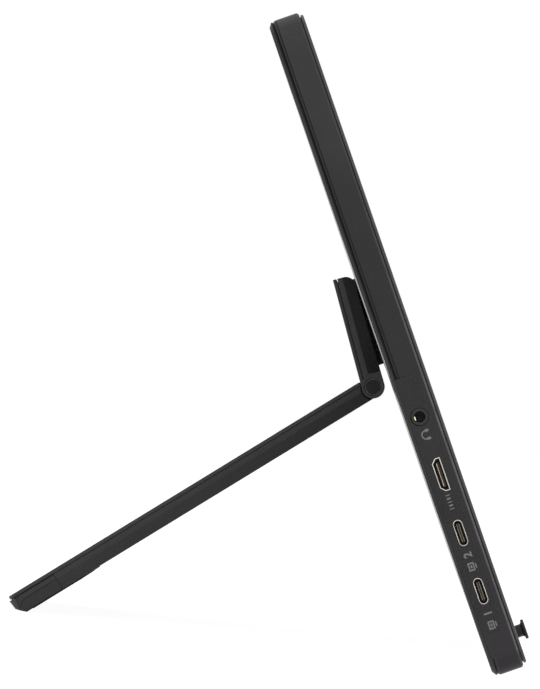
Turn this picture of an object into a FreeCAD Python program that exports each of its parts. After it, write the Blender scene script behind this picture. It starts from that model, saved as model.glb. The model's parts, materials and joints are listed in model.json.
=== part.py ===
import FreeCAD, Part
import math
import os

os.makedirs("parts", exist_ok=True)

# Driving sizes of the display, in mm. The display is drawn upright first:
# x along its width, y out of its back, z up. It is reclined at the end.
width = 360.0
height = 227.0
thickness = 12.2
corner_radius = 6.0
top_border = 7.0
side_border = 8.0
chin = 26.0

# Driving sizes of the stand
stand_width = 100.0
turn_height = 125.0
leaf_pitch = 36.8
leaf_lift = 4.1
leg_length = 149.0
leg_open = 73.5
plate_out = 4.0
barrel_radius = 4.05
leaf_nose = 3.2
leg_in = 3.55
pivot_up = 14.4
pivot_out = 3.7

# How far the two stand hinges, the turntable and the joystick move
leaf_more = 70.0
turn_limit = 90.0
stick_tilt = 6.0
stick_press = 0.3

# Clearances
gap = 0.15
clear = 0.4
run_fit = 0.04
seat_fit = 0.02
overrun = 1.0
tiny = 0.001
straight_share = 0.999

# Display shells
skin = 1.6
frame_wall = 3.0
rear_inset = 0.3
rear_edge = 2.2
field_rise = 0.35
field_margin = 4.0
field_low = 32.0
field_high = 143.0
field_side_run = 36.0
field_low_run = 17.0
field_high_run = 72.0
groove_break = 0.6
groove_depth = 0.35
back_break = 1.0
back_run = 1.5
rim_break = 0.6
plate_depth = 0.95
groove_width = 0.35
groove_inset = 0.6
front_inset = 1.1
front_round = 0.5
lip_depth = 2.0
lip_wall = 1.2
ledge_depth = 1.0
ledge_reach = 4.0

# Panel layers
glass_lap = 1.5
lip_cover = 0.8
glass_thick = 1.1
diffuser_thick = 0.5
guide_thick = 0.7
reflector_thick = 0.2
tray_thick = 0.5
tray_wall = 0.6
led_zone = 3.0
led_count = 28
led_length = 4.0
led_height = 1.4
led_thick = 0.5
led_flex_thick = 0.15
guide_span_share = 0.98

# Ports
port_first = 28.2
port_pitch = 20.1
port_depth = 5.5
jack_depth = 5.25
skirt_low = 14.4
skirt_high = 102.5
skirt_depth = 8.7
skirt_wall = 1.8
skirt_round = 2.0
oval_long = 8.94
oval_short = 3.2
oval_wall = 0.3
oval_deep = 7.6
oval_tongue_long = 6.6
oval_tongue_thick = 0.7
oval_tongue_deep = 5.4
video_long = 11.3
video_short = 3.2
video_wall = 0.35
video_deep = 7.8
video_cut = 1.5
video_tongue_long = 8.4
video_tongue_thick = 0.7
video_tongue_deep = 5.6
video_tongue_off = 0.35
socket_base = 1.2
jack_bore = 1.8
jack_collar = 2.85
jack_nose = 2.6
jack_deep = 13.0
jack_half_long = 3.3
jack_front = 7.3
jack_back = 2.7
contact_long = 3.0
contact_wide = 1.2
contact_thick = 0.35

# Boards
board_thick = 1.0
board_long = 80.0
board_low = 11.0
board_high = 107.0
board_edge = 5.5
board_pad = 3.0
board_screw_shares = ((0.08, 0.06), (0.94, 0.06), (0.14, 0.93), (0.94, 0.93))
chip_thick = 1.2
scaler_size = 17.0
scaler_share = (0.55, 0.42)
chip_sizes = (8.0, 8.0, 6.0, 6.0, 10.0)
chip_shares = ((0.84, 0.22), (0.84, 0.38), (0.40, 0.70), (0.60, 0.74), (0.82, 0.66))
shield_thick = 0.2
shield_room = 0.3
driver_half = 85.0
driver_low = 30.0
driver_high = 43.0
driver_thick = 0.8
ribbon_wide = 22.0
ribbon_thick = 0.3
ribbon_lap = 6.0

# Screws
screw_radius = 0.9
screw_head = 1.9
screw_head_thick = 0.6
screw_grip = 0.9

# Joystick
stick_side = 30.0
stick_height = 10.3
stick_out = 3.5
cap_radius = 3.3
cap_thick = 1.0
cap_stem = 2.1
cap_flare = 0.5
cap_flare_radius = 2.5
cap_inside = 1.2
post_radius = 0.8
hole_room = 0.65
pivot_depth = 9.6
stick_house_half = 4.1
stick_bore = 3.65
stick_board_half = 9.0
stick_board_thick = 0.8
stick_floor = 0.3
yoke_outer = 2.3
yoke_inner = 1.55
yoke_half = 0.45
trunnion = 0.25
trunnion_reach = 0.45
lug_thick = 0.4
lug_half = 0.55
plunger_radius = 3.25
plunger_thick = 0.5
plunger_under = 0.95

# Turntable
disc_radius = 17.0
disc_thick = 1.3
disc_proud = 0.1
disc_gap = 0.1
floor_thick = 1.4
hub_radius = 6.0
hub_bore = 3.5
hub_tail = 0.5
boss_radius = 25.0
stand_plate_half = 22.0
stand_plate_thick = 0.8
stand_plate_round = 5.0
stand_screw_share = 0.76
washer_radius = 9.5
washer_thick = 0.4
ring_radius = 8.0
ring_thick = 0.8
ring_groove = 0.6
bracket_half = 15.0
bracket_thick = 1.0
bracket_low = 15.5
cheek_thick = 1.5
cheek_rise = 2.9
cheek_eye = 2.2
rivet_radius = 1.2
rivet_head = 2.0
rivet_head_thick = 0.6
rivet_share = 0.55

# Leaf and leg
cover_thick = 1.3
seam = 0.3
seam_inset = 1.2
side_straight = 3.5
side_slope = 3.0
pin_radius = 1.25
pin_reach = 7.0
sleeve_wall = 0.8
ear_width = 7.0
leg_pin_radius = 1.5
cap_disc = 3.0
cap_disc_thick = 0.7
cap_sink = 0.25
leaf_screw_shares = ((0.36, 0.16), (0.36, 0.70))
leg_screw_shares = ((0.40, 0.16), (0.40, 0.92))
leg_wall = 5.0
leg_floor = 1.4
leg_cavity_start = 14.0
stiffener_thick = 1.2
foot_start = 18.7
foot_draft = 0.5
foot_heel = 1.6
foot_knee = 2.6
pad_long = 28.0
pad_thick = 0.4
pad_end = 1.5
pad_side = 2.0
tip_round = 6.0

# Rubber strips under the bottom edge. Both kinds of rubber share one edge round.
foot_strip_long = 62.0
foot_strip_center = 112.0
foot_strip_rear = 1.2
foot_strip_front = 3.3
foot_strip_drop = 0.3
foot_strip_up = 1.6
contact_round = 0.35

Vec = FreeCAD.Vector
half_width = width / 2
half_stand = stand_width / 2
nodes = {}


def block(x0, x1, y0, y1, z0, z1):
    """A box between two corners."""
    return Part.makeBox(x1 - x0, y1 - y0, z1 - z0, Vec(x0, y0, z0))


def rod_x(radius, x0, x1, y, z):
    """A round bar along the width."""
    return Part.makeCylinder(radius, x1 - x0, Vec(x0, y, z), Vec(1, 0, 0))


def rod_y(radius, x, z, y0, y1):
    """A round bar along the depth."""
    return Part.makeCylinder(radius, y1 - y0, Vec(x, y0, z), Vec(0, 1, 0))


def rod_z(radius, x, y, z0, z1):
    """A round bar along the height."""
    return Part.makeCylinder(radius, z1 - z0, Vec(x, y, z0), Vec(0, 0, 1))


def prism_x(outline, x0, x1):
    """A flat outline of (y, z) points drawn out along the width."""
    points = [Vec(x0, y, z) for y, z in outline]
    face = Part.Face(Part.makePolygon(points + points[:1]))
    return face.extrude(Vec(x1 - x0, 0, 0))


def runs_along(edge, axis):
    """True where an edge is straight and runs along the axis."""
    way = edge.Vertexes[-1].Point.sub(edge.Vertexes[0].Point)
    if way.Length < tiny:
        return False
    return abs(way.normalize().dot(axis)) > straight_share


def rounded(half, z0, z1, y0, y1, radius):
    """A plate in the plane of the screen with round corners."""
    plate = block(-half, half, y0, y1, z0, z1)
    corners = [e for e in plate.Edges if runs_along(e, Vec(0, 1, 0))]
    return plate.makeFillet(radius, corners)


def square_loop(half, z0, z1, y):
    """A closed rectangle in the plane of the screen."""
    return Part.makePolygon([Vec(x, y, z) for x, z in ((-half, z0), (half, z0), (half, z1), (-half, z1),
                                                       (-half, z0))])


def edges_at(shape, y):
    """The edges of a shape that lie at one depth."""
    found = []
    for edge in shape.Edges:
        box = edge.BoundBox
        if abs(box.YMin - y) < tiny and abs(box.YMax - y) < tiny:
            found.append(edge)
    return found


def stadium(x0, x1, y, z, long_side, short_side):
    """A bar along the width whose section has two straight and two round sides."""
    half_run = (long_side - short_side) / 2
    radius = short_side / 2
    middle = block(x0, x1, y - radius, y + radius, z - half_run, z + half_run)
    low = rod_x(radius, x0, x1, y, z - half_run)
    high = rod_x(radius, x0, x1, y, z + half_run)
    return middle.fuse([low, high]).removeSplitter()


def cut_corner_bar(x0, x1, y, z, long_side, short_side, corner):
    """A bar along the width with the two corners on its back side cut off."""
    run = long_side / 2
    rise = short_side / 2
    outline = [(y - rise, z - run), (y + rise - corner, z - run), (y + rise, z - run + corner),
               (y + rise, z + run - corner), (y + rise - corner, z + run), (y - rise, z + run)]
    return prism_x(outline, x0, x1)


def screw_y(x, z, seat, way, grip):
    """A plain screw along the depth, its head standing off the seat against its way in."""
    head = rod_y(screw_head, x, z, min(seat, seat - way * screw_head_thick),
                 max(seat, seat - way * screw_head_thick))
    shank = rod_y(screw_radius, x, z, min(seat, seat + way * grip), max(seat, seat + way * grip))
    return head.fuse(shank)


def screw_hole(x, z, seat, way, grip):
    """The clearance that a screw of the same size needs."""
    far = seat + way * (grip + gap)
    return rod_y(screw_radius + seat_fit, x, z, min(seat, far), max(seat, far))


def add(name, shape):
    """Keep one finished piece under its name."""
    nodes[name] = shape


# Depths from the back, all derived
rear_face = -field_rise
rim_depth = thickness - plate_depth - groove_width
plate_back = -(thickness - plate_depth)
plate_front = -thickness
cover_inside = rear_face - skin
glass_front = plate_front + lip_cover
glass_back = glass_front + glass_thick
diffuser_back = glass_back + diffuser_thick
guide_back = diffuser_back + guide_thick
reflector_back = guide_back + reflector_thick
tray_back = reflector_back + tray_thick
ledge_back = tray_back + ledge_depth
window_half = half_width - side_border
window_low = chin
window_high = height - top_border
glass_half = window_half + glass_lap
glass_low = window_low - glass_lap
glass_high = window_high + glass_lap
inner_half = half_width - frame_wall
inner_low = frame_wall
inner_high = height - frame_wall
inner_radius = corner_radius - frame_wall
port_heights = [port_first + port_pitch * n for n in range(4)]
oval_low_z, oval_high_z, video_z, jack_z = port_heights
board_back = -(port_depth - oval_short / 2 - board_thick)
board_front = board_back - board_thick
board_x0 = -half_width + board_edge
board_x1 = board_x0 + board_long
stick_x = -half_width + stick_side
side_x = -half_width

# Mid frame
frame = rounded(half_width, 0, height, -rim_depth, -rear_edge, corner_radius)
frame = frame.makeChamfer(groove_break, groove_depth, edges_at(frame, -rear_edge))
frame = frame.makeChamfer(rim_break, edges_at(frame, -rim_depth))
frame = frame.fuse(block(side_x, side_x + frame_wall, -rear_edge - groove_break, -rear_edge, corner_radius,
                         skirt_low - gap))
hollow = rounded(inner_half, inner_low, inner_high, -rim_depth - overrun, overrun, inner_radius)
frame = frame.cut(hollow)
ledge = rounded(inner_half, inner_low, inner_high, tray_back, ledge_back, inner_radius)
ledge_hole = block(-inner_half + ledge_reach, inner_half - ledge_reach, tray_back - overrun,
                   ledge_back + overrun, inner_low + ledge_reach, inner_high - ledge_reach)
frame = frame.fuse(ledge.cut(ledge_hole))


def skirt_body(room):
    """The side skirt of the rear cover, or its notch when room is added round it."""
    shape = block(side_x, side_x + skirt_wall + room, -skirt_depth - room, rear_face,
                  skirt_low - room, skirt_high + room)
    front = [e for e in shape.Edges if runs_along(e, Vec(1, 0, 0)) and e.BoundBox.YMax < rear_face - tiny]
    return shape.makeFillet(skirt_round + room, front)


notch = skirt_body(gap).fuse(block(side_x - overrun, side_x + frame_wall, -skirt_depth + skirt_round,
                                   overrun, skirt_low - gap, skirt_high + gap))
frame = frame.cut(notch)
wall_way = block(side_x + skirt_wall, side_x + frame_wall, -skirt_depth + clear, overrun,
                 skirt_low + skirt_round, skirt_high - skirt_round)
frame = frame.cut(wall_way)


def foot_strip(side, room):
    """One rubber strip under the bottom edge, or its pocket."""
    x = side * foot_strip_center
    run = foot_strip_long / 2 + room
    return block(x - run, x + run, -foot_strip_front - room, -foot_strip_rear + room,
                 -foot_strip_drop, foot_strip_up + room)


for side in (-1, 1):
    frame = frame.cut(foot_strip(side, seat_fit))
add("mid_frame", frame)

# Rear cover
cover = rounded(half_width - rear_inset, rear_inset, height - rear_inset, -rear_edge, rear_face,
                corner_radius - rear_inset)
cover = cover.makeChamfer(back_break, back_run, edges_at(cover, rear_face))
cover = cover.makeChamfer(groove_break, groove_depth, edges_at(cover, -rear_edge))
field_half = half_width - field_margin
field_foot = square_loop(field_half, field_low - field_low_run, field_high + field_high_run, rear_face - tiny)
field_top = square_loop(field_half - field_side_run, field_low, field_high, 0)
cover = cover.fuse(Part.makeLoft([field_foot, field_top], True, True))
inside = rounded(inner_half - gap, inner_low + gap, inner_high - gap, -rear_edge - overrun, cover_inside,
                 inner_radius)
cover = cover.cut(inside)
lip = rounded(inner_half - gap, inner_low + gap, inner_high - gap, -rear_edge - lip_depth, cover_inside,
              inner_radius)
lip_hole = rounded(inner_half - gap - lip_wall, inner_low + gap + lip_wall, inner_high - gap - lip_wall,
                   -rear_edge - lip_depth - overrun, cover_inside + overrun, inner_radius - lip_wall)
lip = lip.cut(lip_hole)
lip = lip.cut(block(side_x, side_x + frame_wall + board_edge, -rear_edge - lip_depth - overrun, cover_inside,
                    skirt_low - clear, skirt_high + clear))
cover = cover.fuse(lip)
skirt = skirt_body(0)
skirt_edge = [e for e in skirt.Edges if runs_along(e, Vec(0, 0, 1))
              and e.BoundBox.XMax < side_x + tiny and e.BoundBox.YMin > rear_face - tiny]
skirt = skirt.makeChamfer(back_break, back_run, skirt_edge)
below = block(side_x, side_x + skirt_wall, -rear_edge, rear_face, corner_radius, skirt_low + skirt_round)
below_edge = [e for e in below.Edges if runs_along(e, Vec(0, 0, 1))
              and e.BoundBox.XMax < side_x + tiny and e.BoundBox.YMin > rear_face - tiny]
below = below.makeChamfer(back_break, back_run, below_edge)
cover = cover.fuse([skirt, below])
boss_floor = -disc_thick + disc_proud - disc_gap - floor_thick
boss = rod_y(boss_radius, 0, turn_height, boss_floor, cover_inside)
cover = cover.fuse(boss)
pocket = rod_y(disc_radius + clear, 0, turn_height, boss_floor + floor_thick, overrun)
bore = rod_y(hub_radius + run_fit, 0, turn_height, boss_floor - overrun, overrun)
cover = cover.cut(pocket.fuse(bore))

# Openings for the ports
port_far = side_x + frame_wall + overrun
cuts = []
for z in (oval_low_z, oval_high_z):
    cuts.append(stadium(side_x - overrun, port_far, -port_depth, z, oval_long + 2 * gap, oval_short + 2 * gap))
cuts.append(cut_corner_bar(side_x - overrun, port_far, -port_depth, video_z, video_long + 2 * gap,
                           video_short + 2 * gap, video_cut))
cuts.append(rod_x(jack_collar + gap, side_x - overrun, port_far, -jack_depth, jack_z))
cover = cover.cut(cuts[0].fuse(cuts[1:]))

# Pads that carry the main board
board_spots = []
for along, up in board_screw_shares:
    board_spots.append((board_x0 + along * board_long, board_low + up * (board_high - board_low)))
for x, z in board_spots:
    cover = cover.fuse(rod_y(board_pad, x, z, board_back, cover_inside))
for x, z in board_spots:
    cover = cover.cut(screw_hole(x, z, board_front, 1, board_thick + screw_grip))
stand_spots = []
for sx in (-1, 1):
    for sz in (-1, 1):
        reach = stand_screw_share * stand_plate_half
        stand_spots.append((sx * reach, turn_height + sz * reach))
for x, z in stand_spots:
    cover = cover.cut(screw_hole(x, z, boss_floor - stand_plate_thick, 1, stand_plate_thick + screw_grip))
for side in (-1, 1):
    cover = cover.cut(foot_strip(side, seat_fit))
add("rear_cover", cover.removeSplitter())

# Front plate
front = rounded(half_width - front_inset, front_inset, height - front_inset, plate_front, plate_back,
                corner_radius - front_inset)
front = front.makeFillet(front_round, edges_at(front, plate_front))
base_inset = front_inset + groove_inset
base = rounded(half_width - base_inset, base_inset, height - base_inset, plate_back, -rim_depth,
               corner_radius - base_inset)
front = front.fuse(base)
front = front.cut(block(-window_half, window_half, plate_front - overrun, overrun, window_low, window_high))
front = front.cut(block(-glass_half - gap, glass_half + gap, glass_front, overrun, glass_low - gap,
                        glass_high + gap))
stick_hole = rod_y(cap_stem + hole_room, stick_x, stick_height, plate_front - overrun, overrun)
front = front.cut(stick_hole)
add("front_plate", front.removeSplitter())

# Panel, from the glass to its steel tray
add("screen_glass", block(-glass_half, glass_half, glass_front, glass_back, glass_low, glass_high))
core_half = glass_half - tray_wall - gap
core_low = glass_low + tray_wall + gap
core_high = glass_high - tray_wall - gap
guide_low = core_low + led_zone
add("diffuser_sheet", block(-core_half, core_half, glass_back, diffuser_back, core_low, core_high))
add("light_guide", block(-core_half, core_half, diffuser_back, guide_back, guide_low, core_high))
add("reflector_sheet", block(-core_half, core_half, guide_back, reflector_back, core_low, core_high))
tray = block(-glass_half, glass_half, glass_back, tray_back, glass_low, glass_high)
tray = tray.cut(block(-core_half - gap, core_half + gap, glass_back - overrun, reflector_back,
                      core_low - gap, core_high + gap))
add("panel_tray", tray)
led_span = 2 * core_half * guide_span_share
led_top = guide_low - gap
flex_back = guide_back
flex_front = flex_back - led_flex_thick
add("led_flex", block(-led_span / 2, led_span / 2, flex_front, flex_back, core_low, led_top))
leds = []
for n in range(led_count):
    x = led_span * ((n + 0.5) / led_count - 0.5)
    leds.append(block(x - led_length / 2, x + led_length / 2, flex_front - led_thick, flex_front,
                      led_top - led_height, led_top))
add("leds", Part.makeCompound(leds))

# Panel driver board and its flat cable to the main board
driver_back = tray_back + driver_thick
add("driver_board", block(-driver_half, driver_half, tray_back, driver_back, driver_low, driver_high))
ribbon_mid = (driver_low + driver_high) / 2
ribbon_x0 = board_x1 - ribbon_lap
ribbon_x1 = -driver_half + ribbon_lap
rib_low = ribbon_mid - ribbon_wide / 4
rib_high = ribbon_mid + ribbon_wide / 4
flat_one = block(ribbon_x1 - ribbon_lap, ribbon_x1, driver_back, driver_back + ribbon_thick, rib_low, rib_high)
flat_two = block(ribbon_x0, board_x1, board_front - ribbon_thick, board_front, rib_low, rib_high)
bridge = block(board_x1 - ribbon_thick, board_x1, driver_back, board_front, rib_low, rib_high)
run = block(min(board_x1 - ribbon_thick, ribbon_x1 - ribbon_lap), max(board_x1, ribbon_x1), driver_back,
            driver_back + ribbon_thick, rib_low, rib_high)
add("panel_ribbon", flat_one.fuse([flat_two, bridge, run]).removeSplitter())

# Main board
board = block(board_x0, board_x1, board_front, board_back, board_low, board_high)
board = board.cut(block(board_x0 - overrun, side_x + jack_deep + clear, board_front - overrun,
                        board_back + overrun, jack_z - jack_half_long - clear, jack_z + jack_half_long + clear))
for x, z in board_spots:
    board = board.cut(screw_hole(x, z, board_front - overrun, 1, board_thick + 2 * overrun))
add("main_board", board)
board_screws = [screw_y(x, z, board_front, 1, board_thick + screw_grip) for x, z in board_spots]
add("board_screws", Part.makeCompound(board_screws))


def chip(size, share):
    """A square chip on the front of the main board."""
    x = board_x0 + share[0] * board_long
    z = board_low + share[1] * (board_high - board_low)
    return block(x - size / 2, x + size / 2, board_front - chip_thick, board_front, z - size / 2, z + size / 2)


add("scaler_chip", chip(scaler_size, scaler_share))
add("board_chips", Part.makeCompound([chip(s, p) for s, p in zip(chip_sizes, chip_shares)]))
can_x = board_x0 + scaler_share[0] * board_long
can_z = board_low + scaler_share[1] * (board_high - board_low)
can_half = scaler_size / 2 + shield_room + shield_thick
can_front = board_front - chip_thick - shield_room - shield_thick
can = block(can_x - can_half, can_x + can_half, can_front, board_front, can_z - can_half, can_z + can_half)
room_half = can_half - shield_thick
can = can.cut(block(can_x - room_half, can_x + room_half, can_front + shield_thick, board_front + overrun,
                    can_z - room_half, can_z + room_half))
add("chip_shield", can)


def oval_socket(name, z):
    """One small oval socket: a steel shell and the plastic tongue inside it."""
    inner_long = oval_long - 2 * oval_wall
    inner_short = oval_short - 2 * oval_wall
    shell = stadium(side_x, side_x + oval_deep, -port_depth, z, oval_long, oval_short)
    shell = shell.cut(stadium(side_x - overrun, side_x + oval_deep + overrun, -port_depth, z,
                              inner_long, inner_short))
    add("oval_socket_shell_" + name, shell)
    plug = stadium(side_x + oval_deep - socket_base, side_x + oval_deep, -port_depth, z,
                   inner_long - 2 * seat_fit, inner_short - 2 * seat_fit)
    start = side_x + oval_deep - socket_base - oval_tongue_deep
    tongue = block(start, side_x + oval_deep, -port_depth - oval_tongue_thick / 2,
                   -port_depth + oval_tongue_thick / 2, z - oval_tongue_long / 2, z + oval_tongue_long / 2)
    add("oval_socket_tongue_" + name, plug.fuse(tongue).removeSplitter())


oval_socket("lower", oval_low_z)
oval_socket("upper", oval_high_z)

# Small flat video socket, with the tongue nearer its front wall
inner_long = video_long - 2 * video_wall
inner_short = video_short - 2 * video_wall
video_end = side_x + video_deep
inner_cut = video_cut - video_wall / 2
shell = cut_corner_bar(side_x, video_end, -port_depth, video_z, video_long, video_short, video_cut)
shell = shell.cut(cut_corner_bar(side_x - overrun, video_end + overrun, -port_depth, video_z, inner_long,
                                 inner_short, inner_cut))
add("video_socket_shell", shell)
plug = cut_corner_bar(video_end - socket_base, video_end, -port_depth, video_z, inner_long - 2 * seat_fit,
                      inner_short - 2 * seat_fit, inner_cut)
tongue_y = -port_depth - video_tongue_off
tongue = block(video_end - socket_base - video_tongue_deep, video_end, tongue_y - video_tongue_thick / 2,
               tongue_y + video_tongue_thick / 2, video_z - video_tongue_long / 2, video_z + video_tongue_long / 2)
add("video_socket_tongue", plug.fuse(tongue).removeSplitter())

# Headphone socket
jack_end = side_x + jack_deep
jack = block(side_x + jack_nose, jack_end, -jack_front, -jack_back, jack_z - jack_half_long,
             jack_z + jack_half_long)
jack = jack.fuse(rod_x(jack_collar, side_x, side_x + jack_nose + tiny, -jack_depth, jack_z))
jack = jack.cut(rod_x(jack_bore, side_x - overrun, jack_end - socket_base, -jack_depth, jack_z))
contact_x = side_x + jack_nose + contact_thick
contact_slot = block(contact_x, contact_x + contact_long + seat_fit, -jack_depth, -jack_back + overrun,
                     jack_z - contact_wide / 2 - seat_fit, jack_z + contact_wide / 2 + seat_fit)
jack = jack.cut(contact_slot)
add("headphone_jack", jack)
add("jack_contact", block(contact_x, contact_x + contact_long, -jack_depth + jack_bore + seat_fit,
                          -jack_back, jack_z - contact_wide / 2, jack_z + contact_wide / 2))

# Joystick: a small board on the frame's ledge, a housing, and the stick in a gimbal
stick_board_back = ledge_back + stick_board_thick
stick_board = block(stick_x - stick_board_half, stick_x + stick_board_half, ledge_back, stick_board_back,
                    inner_low + gap, stick_height + stick_house_half + overrun)
stick_spots = [(stick_x - stick_board_half + screw_head + gap, inner_low + ledge_reach / 2),
               (stick_x + stick_board_half - screw_head - gap, inner_low + ledge_reach / 2)]
for x, z in stick_spots:
    stick_board = stick_board.cut(screw_hole(x, z, stick_board_back + overrun, -1,
                                             stick_board_thick + overrun + overrun))
add("joystick_board", stick_board)
stick_screws = [screw_y(x, z, stick_board_back, -1, stick_board_thick + ledge_depth - gap)
                for x, z in stick_spots]
for x, z in stick_spots:
    nodes["mid_frame"] = nodes["mid_frame"].cut(screw_hole(x, z, ledge_back + tiny, -1, ledge_depth + overrun))
add("joystick_screws", Part.makeCompound(stick_screws))
house_front = -rim_depth + gap
house = block(stick_x - stick_house_half, stick_x + stick_house_half, house_front, ledge_back,
              stick_height - stick_house_half, stick_height + stick_house_half)
house = house.cut(rod_y(stick_bore, stick_x, stick_height, house_front - overrun, ledge_back - stick_floor))
add("joystick_housing", house)
house_low = stick_height - stick_house_half - gap
nodes["mid_frame"] = nodes["mid_frame"].cut(block(stick_x - stick_house_half - gap, stick_x + stick_house_half + gap,
                                                  house_front, ledge_back + overrun, house_low,
                                                  house_low + ledge_reach))
lap_low = stick_height + stick_house_half + overrun - ribbon_lap / 2
lap = block(stick_x - ribbon_wide / 4, stick_x + ribbon_wide / 4, stick_board_back,
            stick_board_back + ribbon_thick, lap_low, board_low + ribbon_lap)
rise = block(stick_x - ribbon_wide / 4, stick_x + ribbon_wide / 4, stick_board_back, board_front,
             board_low + ribbon_lap - ribbon_thick, board_low + ribbon_lap)
add("joystick_ribbon", lap.fuse(rise).removeSplitter())

pivot_y = -pivot_depth
plunger_front = pivot_y + plunger_under
plunger = rod_y(plunger_radius, stick_x, stick_height, plunger_front, plunger_front + plunger_thick)
lug_at = yoke_outer + gap
for side in (-1, 1):
    x0 = stick_x + side * lug_at
    x1 = stick_x + side * (lug_at + lug_thick)
    lug = block(min(x0, x1), max(x0, x1), pivot_y - lug_half, plunger_front + plunger_thick,
                stick_height - lug_half, stick_height + lug_half)
    plunger = plunger.fuse(lug)
plunger = plunger.cut(rod_x(trunnion + run_fit, stick_x - plunger_radius - overrun,
                            stick_x + plunger_radius + overrun, pivot_y, stick_height))
add("joystick_plunger", plunger.removeSplitter())
yoke = rod_y(yoke_outer, stick_x, stick_height, pivot_y - yoke_half, pivot_y + yoke_half)
for side in (-1, 1):
    x0 = stick_x + side * (yoke_inner + trunnion)
    x1 = stick_x + side * (yoke_outer + trunnion_reach)
    yoke = yoke.fuse(rod_x(trunnion, min(x0, x1), max(x0, x1), pivot_y, stick_height))
yoke = yoke.cut(rod_y(yoke_inner, stick_x, stick_height, pivot_y - yoke_half - overrun,
                      pivot_y + yoke_half + overrun))
yoke = yoke.cut(rod_z(trunnion + run_fit, stick_x, pivot_y, stick_height - yoke_outer - overrun,
                      stick_height + yoke_outer + overrun))
add("joystick_yoke", yoke.removeSplitter())
post_front = plate_front - stick_out + cap_thick
cap_back = plate_front + cap_inside
stem = rod_y(post_radius, stick_x, stick_height, post_front, pivot_y + yoke_half)
stem = stem.fuse(rod_z(trunnion, stick_x, pivot_y, stick_height - yoke_outer + gap,
                       stick_height + yoke_outer - gap))
add("joystick_stem", stem.removeSplitter())
knob = rod_y(cap_stem, stick_x, stick_height, post_front, cap_back)
knob = knob.fuse(Part.makeCone(cap_flare_radius, cap_stem, cap_flare, Vec(stick_x, post_front, stick_height),
                               Vec(0, 1, 0)))
knob = knob.cut(rod_y(post_radius + seat_fit, stick_x, stick_height, post_front, cap_back + overrun))
knob = knob.fuse(rod_y(cap_radius, stick_x, stick_height, plate_front - stick_out, post_front))
add("joystick_cap", knob.removeSplitter())

# Steel plate inside the back that the turntable turns on
plate_far = boss_floor - stand_plate_thick
stand_plate = rounded(stand_plate_half, turn_height - stand_plate_half, turn_height + stand_plate_half,
                      plate_far, boss_floor, stand_plate_round)
stand_plate = stand_plate.cut(rod_y(hub_radius + clear, 0, turn_height, plate_far - overrun,
                                    boss_floor + overrun))
for x, z in stand_spots:
    stand_plate = stand_plate.cut(screw_hole(x, z, plate_far - overrun, 1, stand_plate_thick + 2 * overrun))
add("stand_plate", stand_plate)
stand_screws = [screw_y(x, z, plate_far, 1, stand_plate_thick + screw_grip) for x, z in stand_spots]
add("stand_plate_screws", Part.makeCompound(stand_screws))

# Rubber strips under the bottom edge
strips = []
for side in (-1, 1):
    strip = foot_strip(side, 0)
    low_edge = [e for e in strip.Edges if runs_along(e, Vec(1, 0, 0))
                and e.BoundBox.ZMax < tiny and e.BoundBox.YMin > -foot_strip_rear - tiny]
    strips.append(strip.makeFillet(contact_round, low_edge))
add("bottom_feet", Part.makeCompound(strips))

# Turntable: disc in the back's pocket, hub through it, washer and ring behind
disc_front = disc_proud - disc_thick
hub_end = plate_far - disc_gap - washer_thick - ring_thick - hub_tail
disc = rod_y(disc_radius, 0, turn_height, disc_front, disc_proud)
disc = disc.cut(rod_y(hub_radius + seat_fit, 0, turn_height, disc_front - overrun, disc_proud + overrun))
rivet_spots = []
for sx in (-1, 1):
    for sz in (-1, 1):
        reach = rivet_share * disc_radius
        rivet_spots.append((sx * reach, turn_height + sz * reach))
rivet_holes = [rod_y(rivet_radius + seat_fit, x, z, disc_front - overrun, disc_proud + 2 * overrun)
               for x, z in rivet_spots]
for hole in rivet_holes:
    disc = disc.cut(hole)
add("turntable_disc", disc)
washer_front = plate_far - disc_gap - washer_thick
ring_front = washer_front - ring_thick
hub = rod_y(hub_radius, 0, turn_height, hub_end, disc_proud)
hub = hub.cut(rod_y(hub_bore, 0, turn_height, hub_end - overrun, disc_proud + overrun))
groove = rod_y(hub_radius + overrun, 0, turn_height, ring_front, washer_front)
groove = groove.cut(rod_y(hub_radius - ring_groove, 0, turn_height, ring_front, washer_front))
hub = hub.cut(groove)
add("turntable_hub", hub)


def flat_ring(outer, inner, y0, y1):
    """A flat ring round the turntable's axis."""
    ring = rod_y(outer, 0, turn_height, y0, y1)
    return ring.cut(rod_y(inner, 0, turn_height, y0 - overrun, y1 + overrun))


add("hub_washer", flat_ring(washer_radius, hub_radius + gap, washer_front, plate_far - disc_gap))
add("hub_ring", flat_ring(ring_radius, hub_radius - ring_groove + seat_fit, ring_front, washer_front))

# Bracket on the turntable, with an eye on each cheek for the leaf's pin
pivot_z = turn_height + pivot_up
bracket_top = pivot_z + cheek_eye
bracket_bottom = turn_height - bracket_low
bracket = block(-bracket_half, bracket_half, disc_proud, disc_proud + bracket_thick, bracket_bottom,
                bracket_top)
for side in (-1, 1):
    x0 = side * (bracket_half - cheek_thick)
    x1 = side * bracket_half
    low_x = min(x0, x1)
    high_x = max(x0, x1)
    cheek = block(low_x, high_x, disc_proud, disc_proud + cheek_rise, bracket_bottom, bracket_top)
    post = block(low_x, high_x, disc_proud, pivot_out, pivot_z - cheek_eye, bracket_top)
    bracket = bracket.fuse([cheek, post, rod_x(cheek_eye, low_x, high_x, pivot_out, pivot_z)])
bracket = bracket.cut(rod_x(pin_radius + run_fit, -bracket_half - overrun, bracket_half + overrun, pivot_out,
                            pivot_z))
for hole in rivet_holes:
    bracket = bracket.cut(hole)
add("stand_bracket", bracket.removeSplitter())
rivets = []
for x, z in rivet_spots:
    head = rod_y(rivet_head, x, z, disc_proud + bracket_thick, disc_proud + bracket_thick + rivet_head_thick)
    rivets.append(head.fuse(rod_y(rivet_radius, x, z, disc_front, disc_proud + bracket_thick)))
add("bracket_rivets", Part.makeCompound(rivets))

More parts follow.
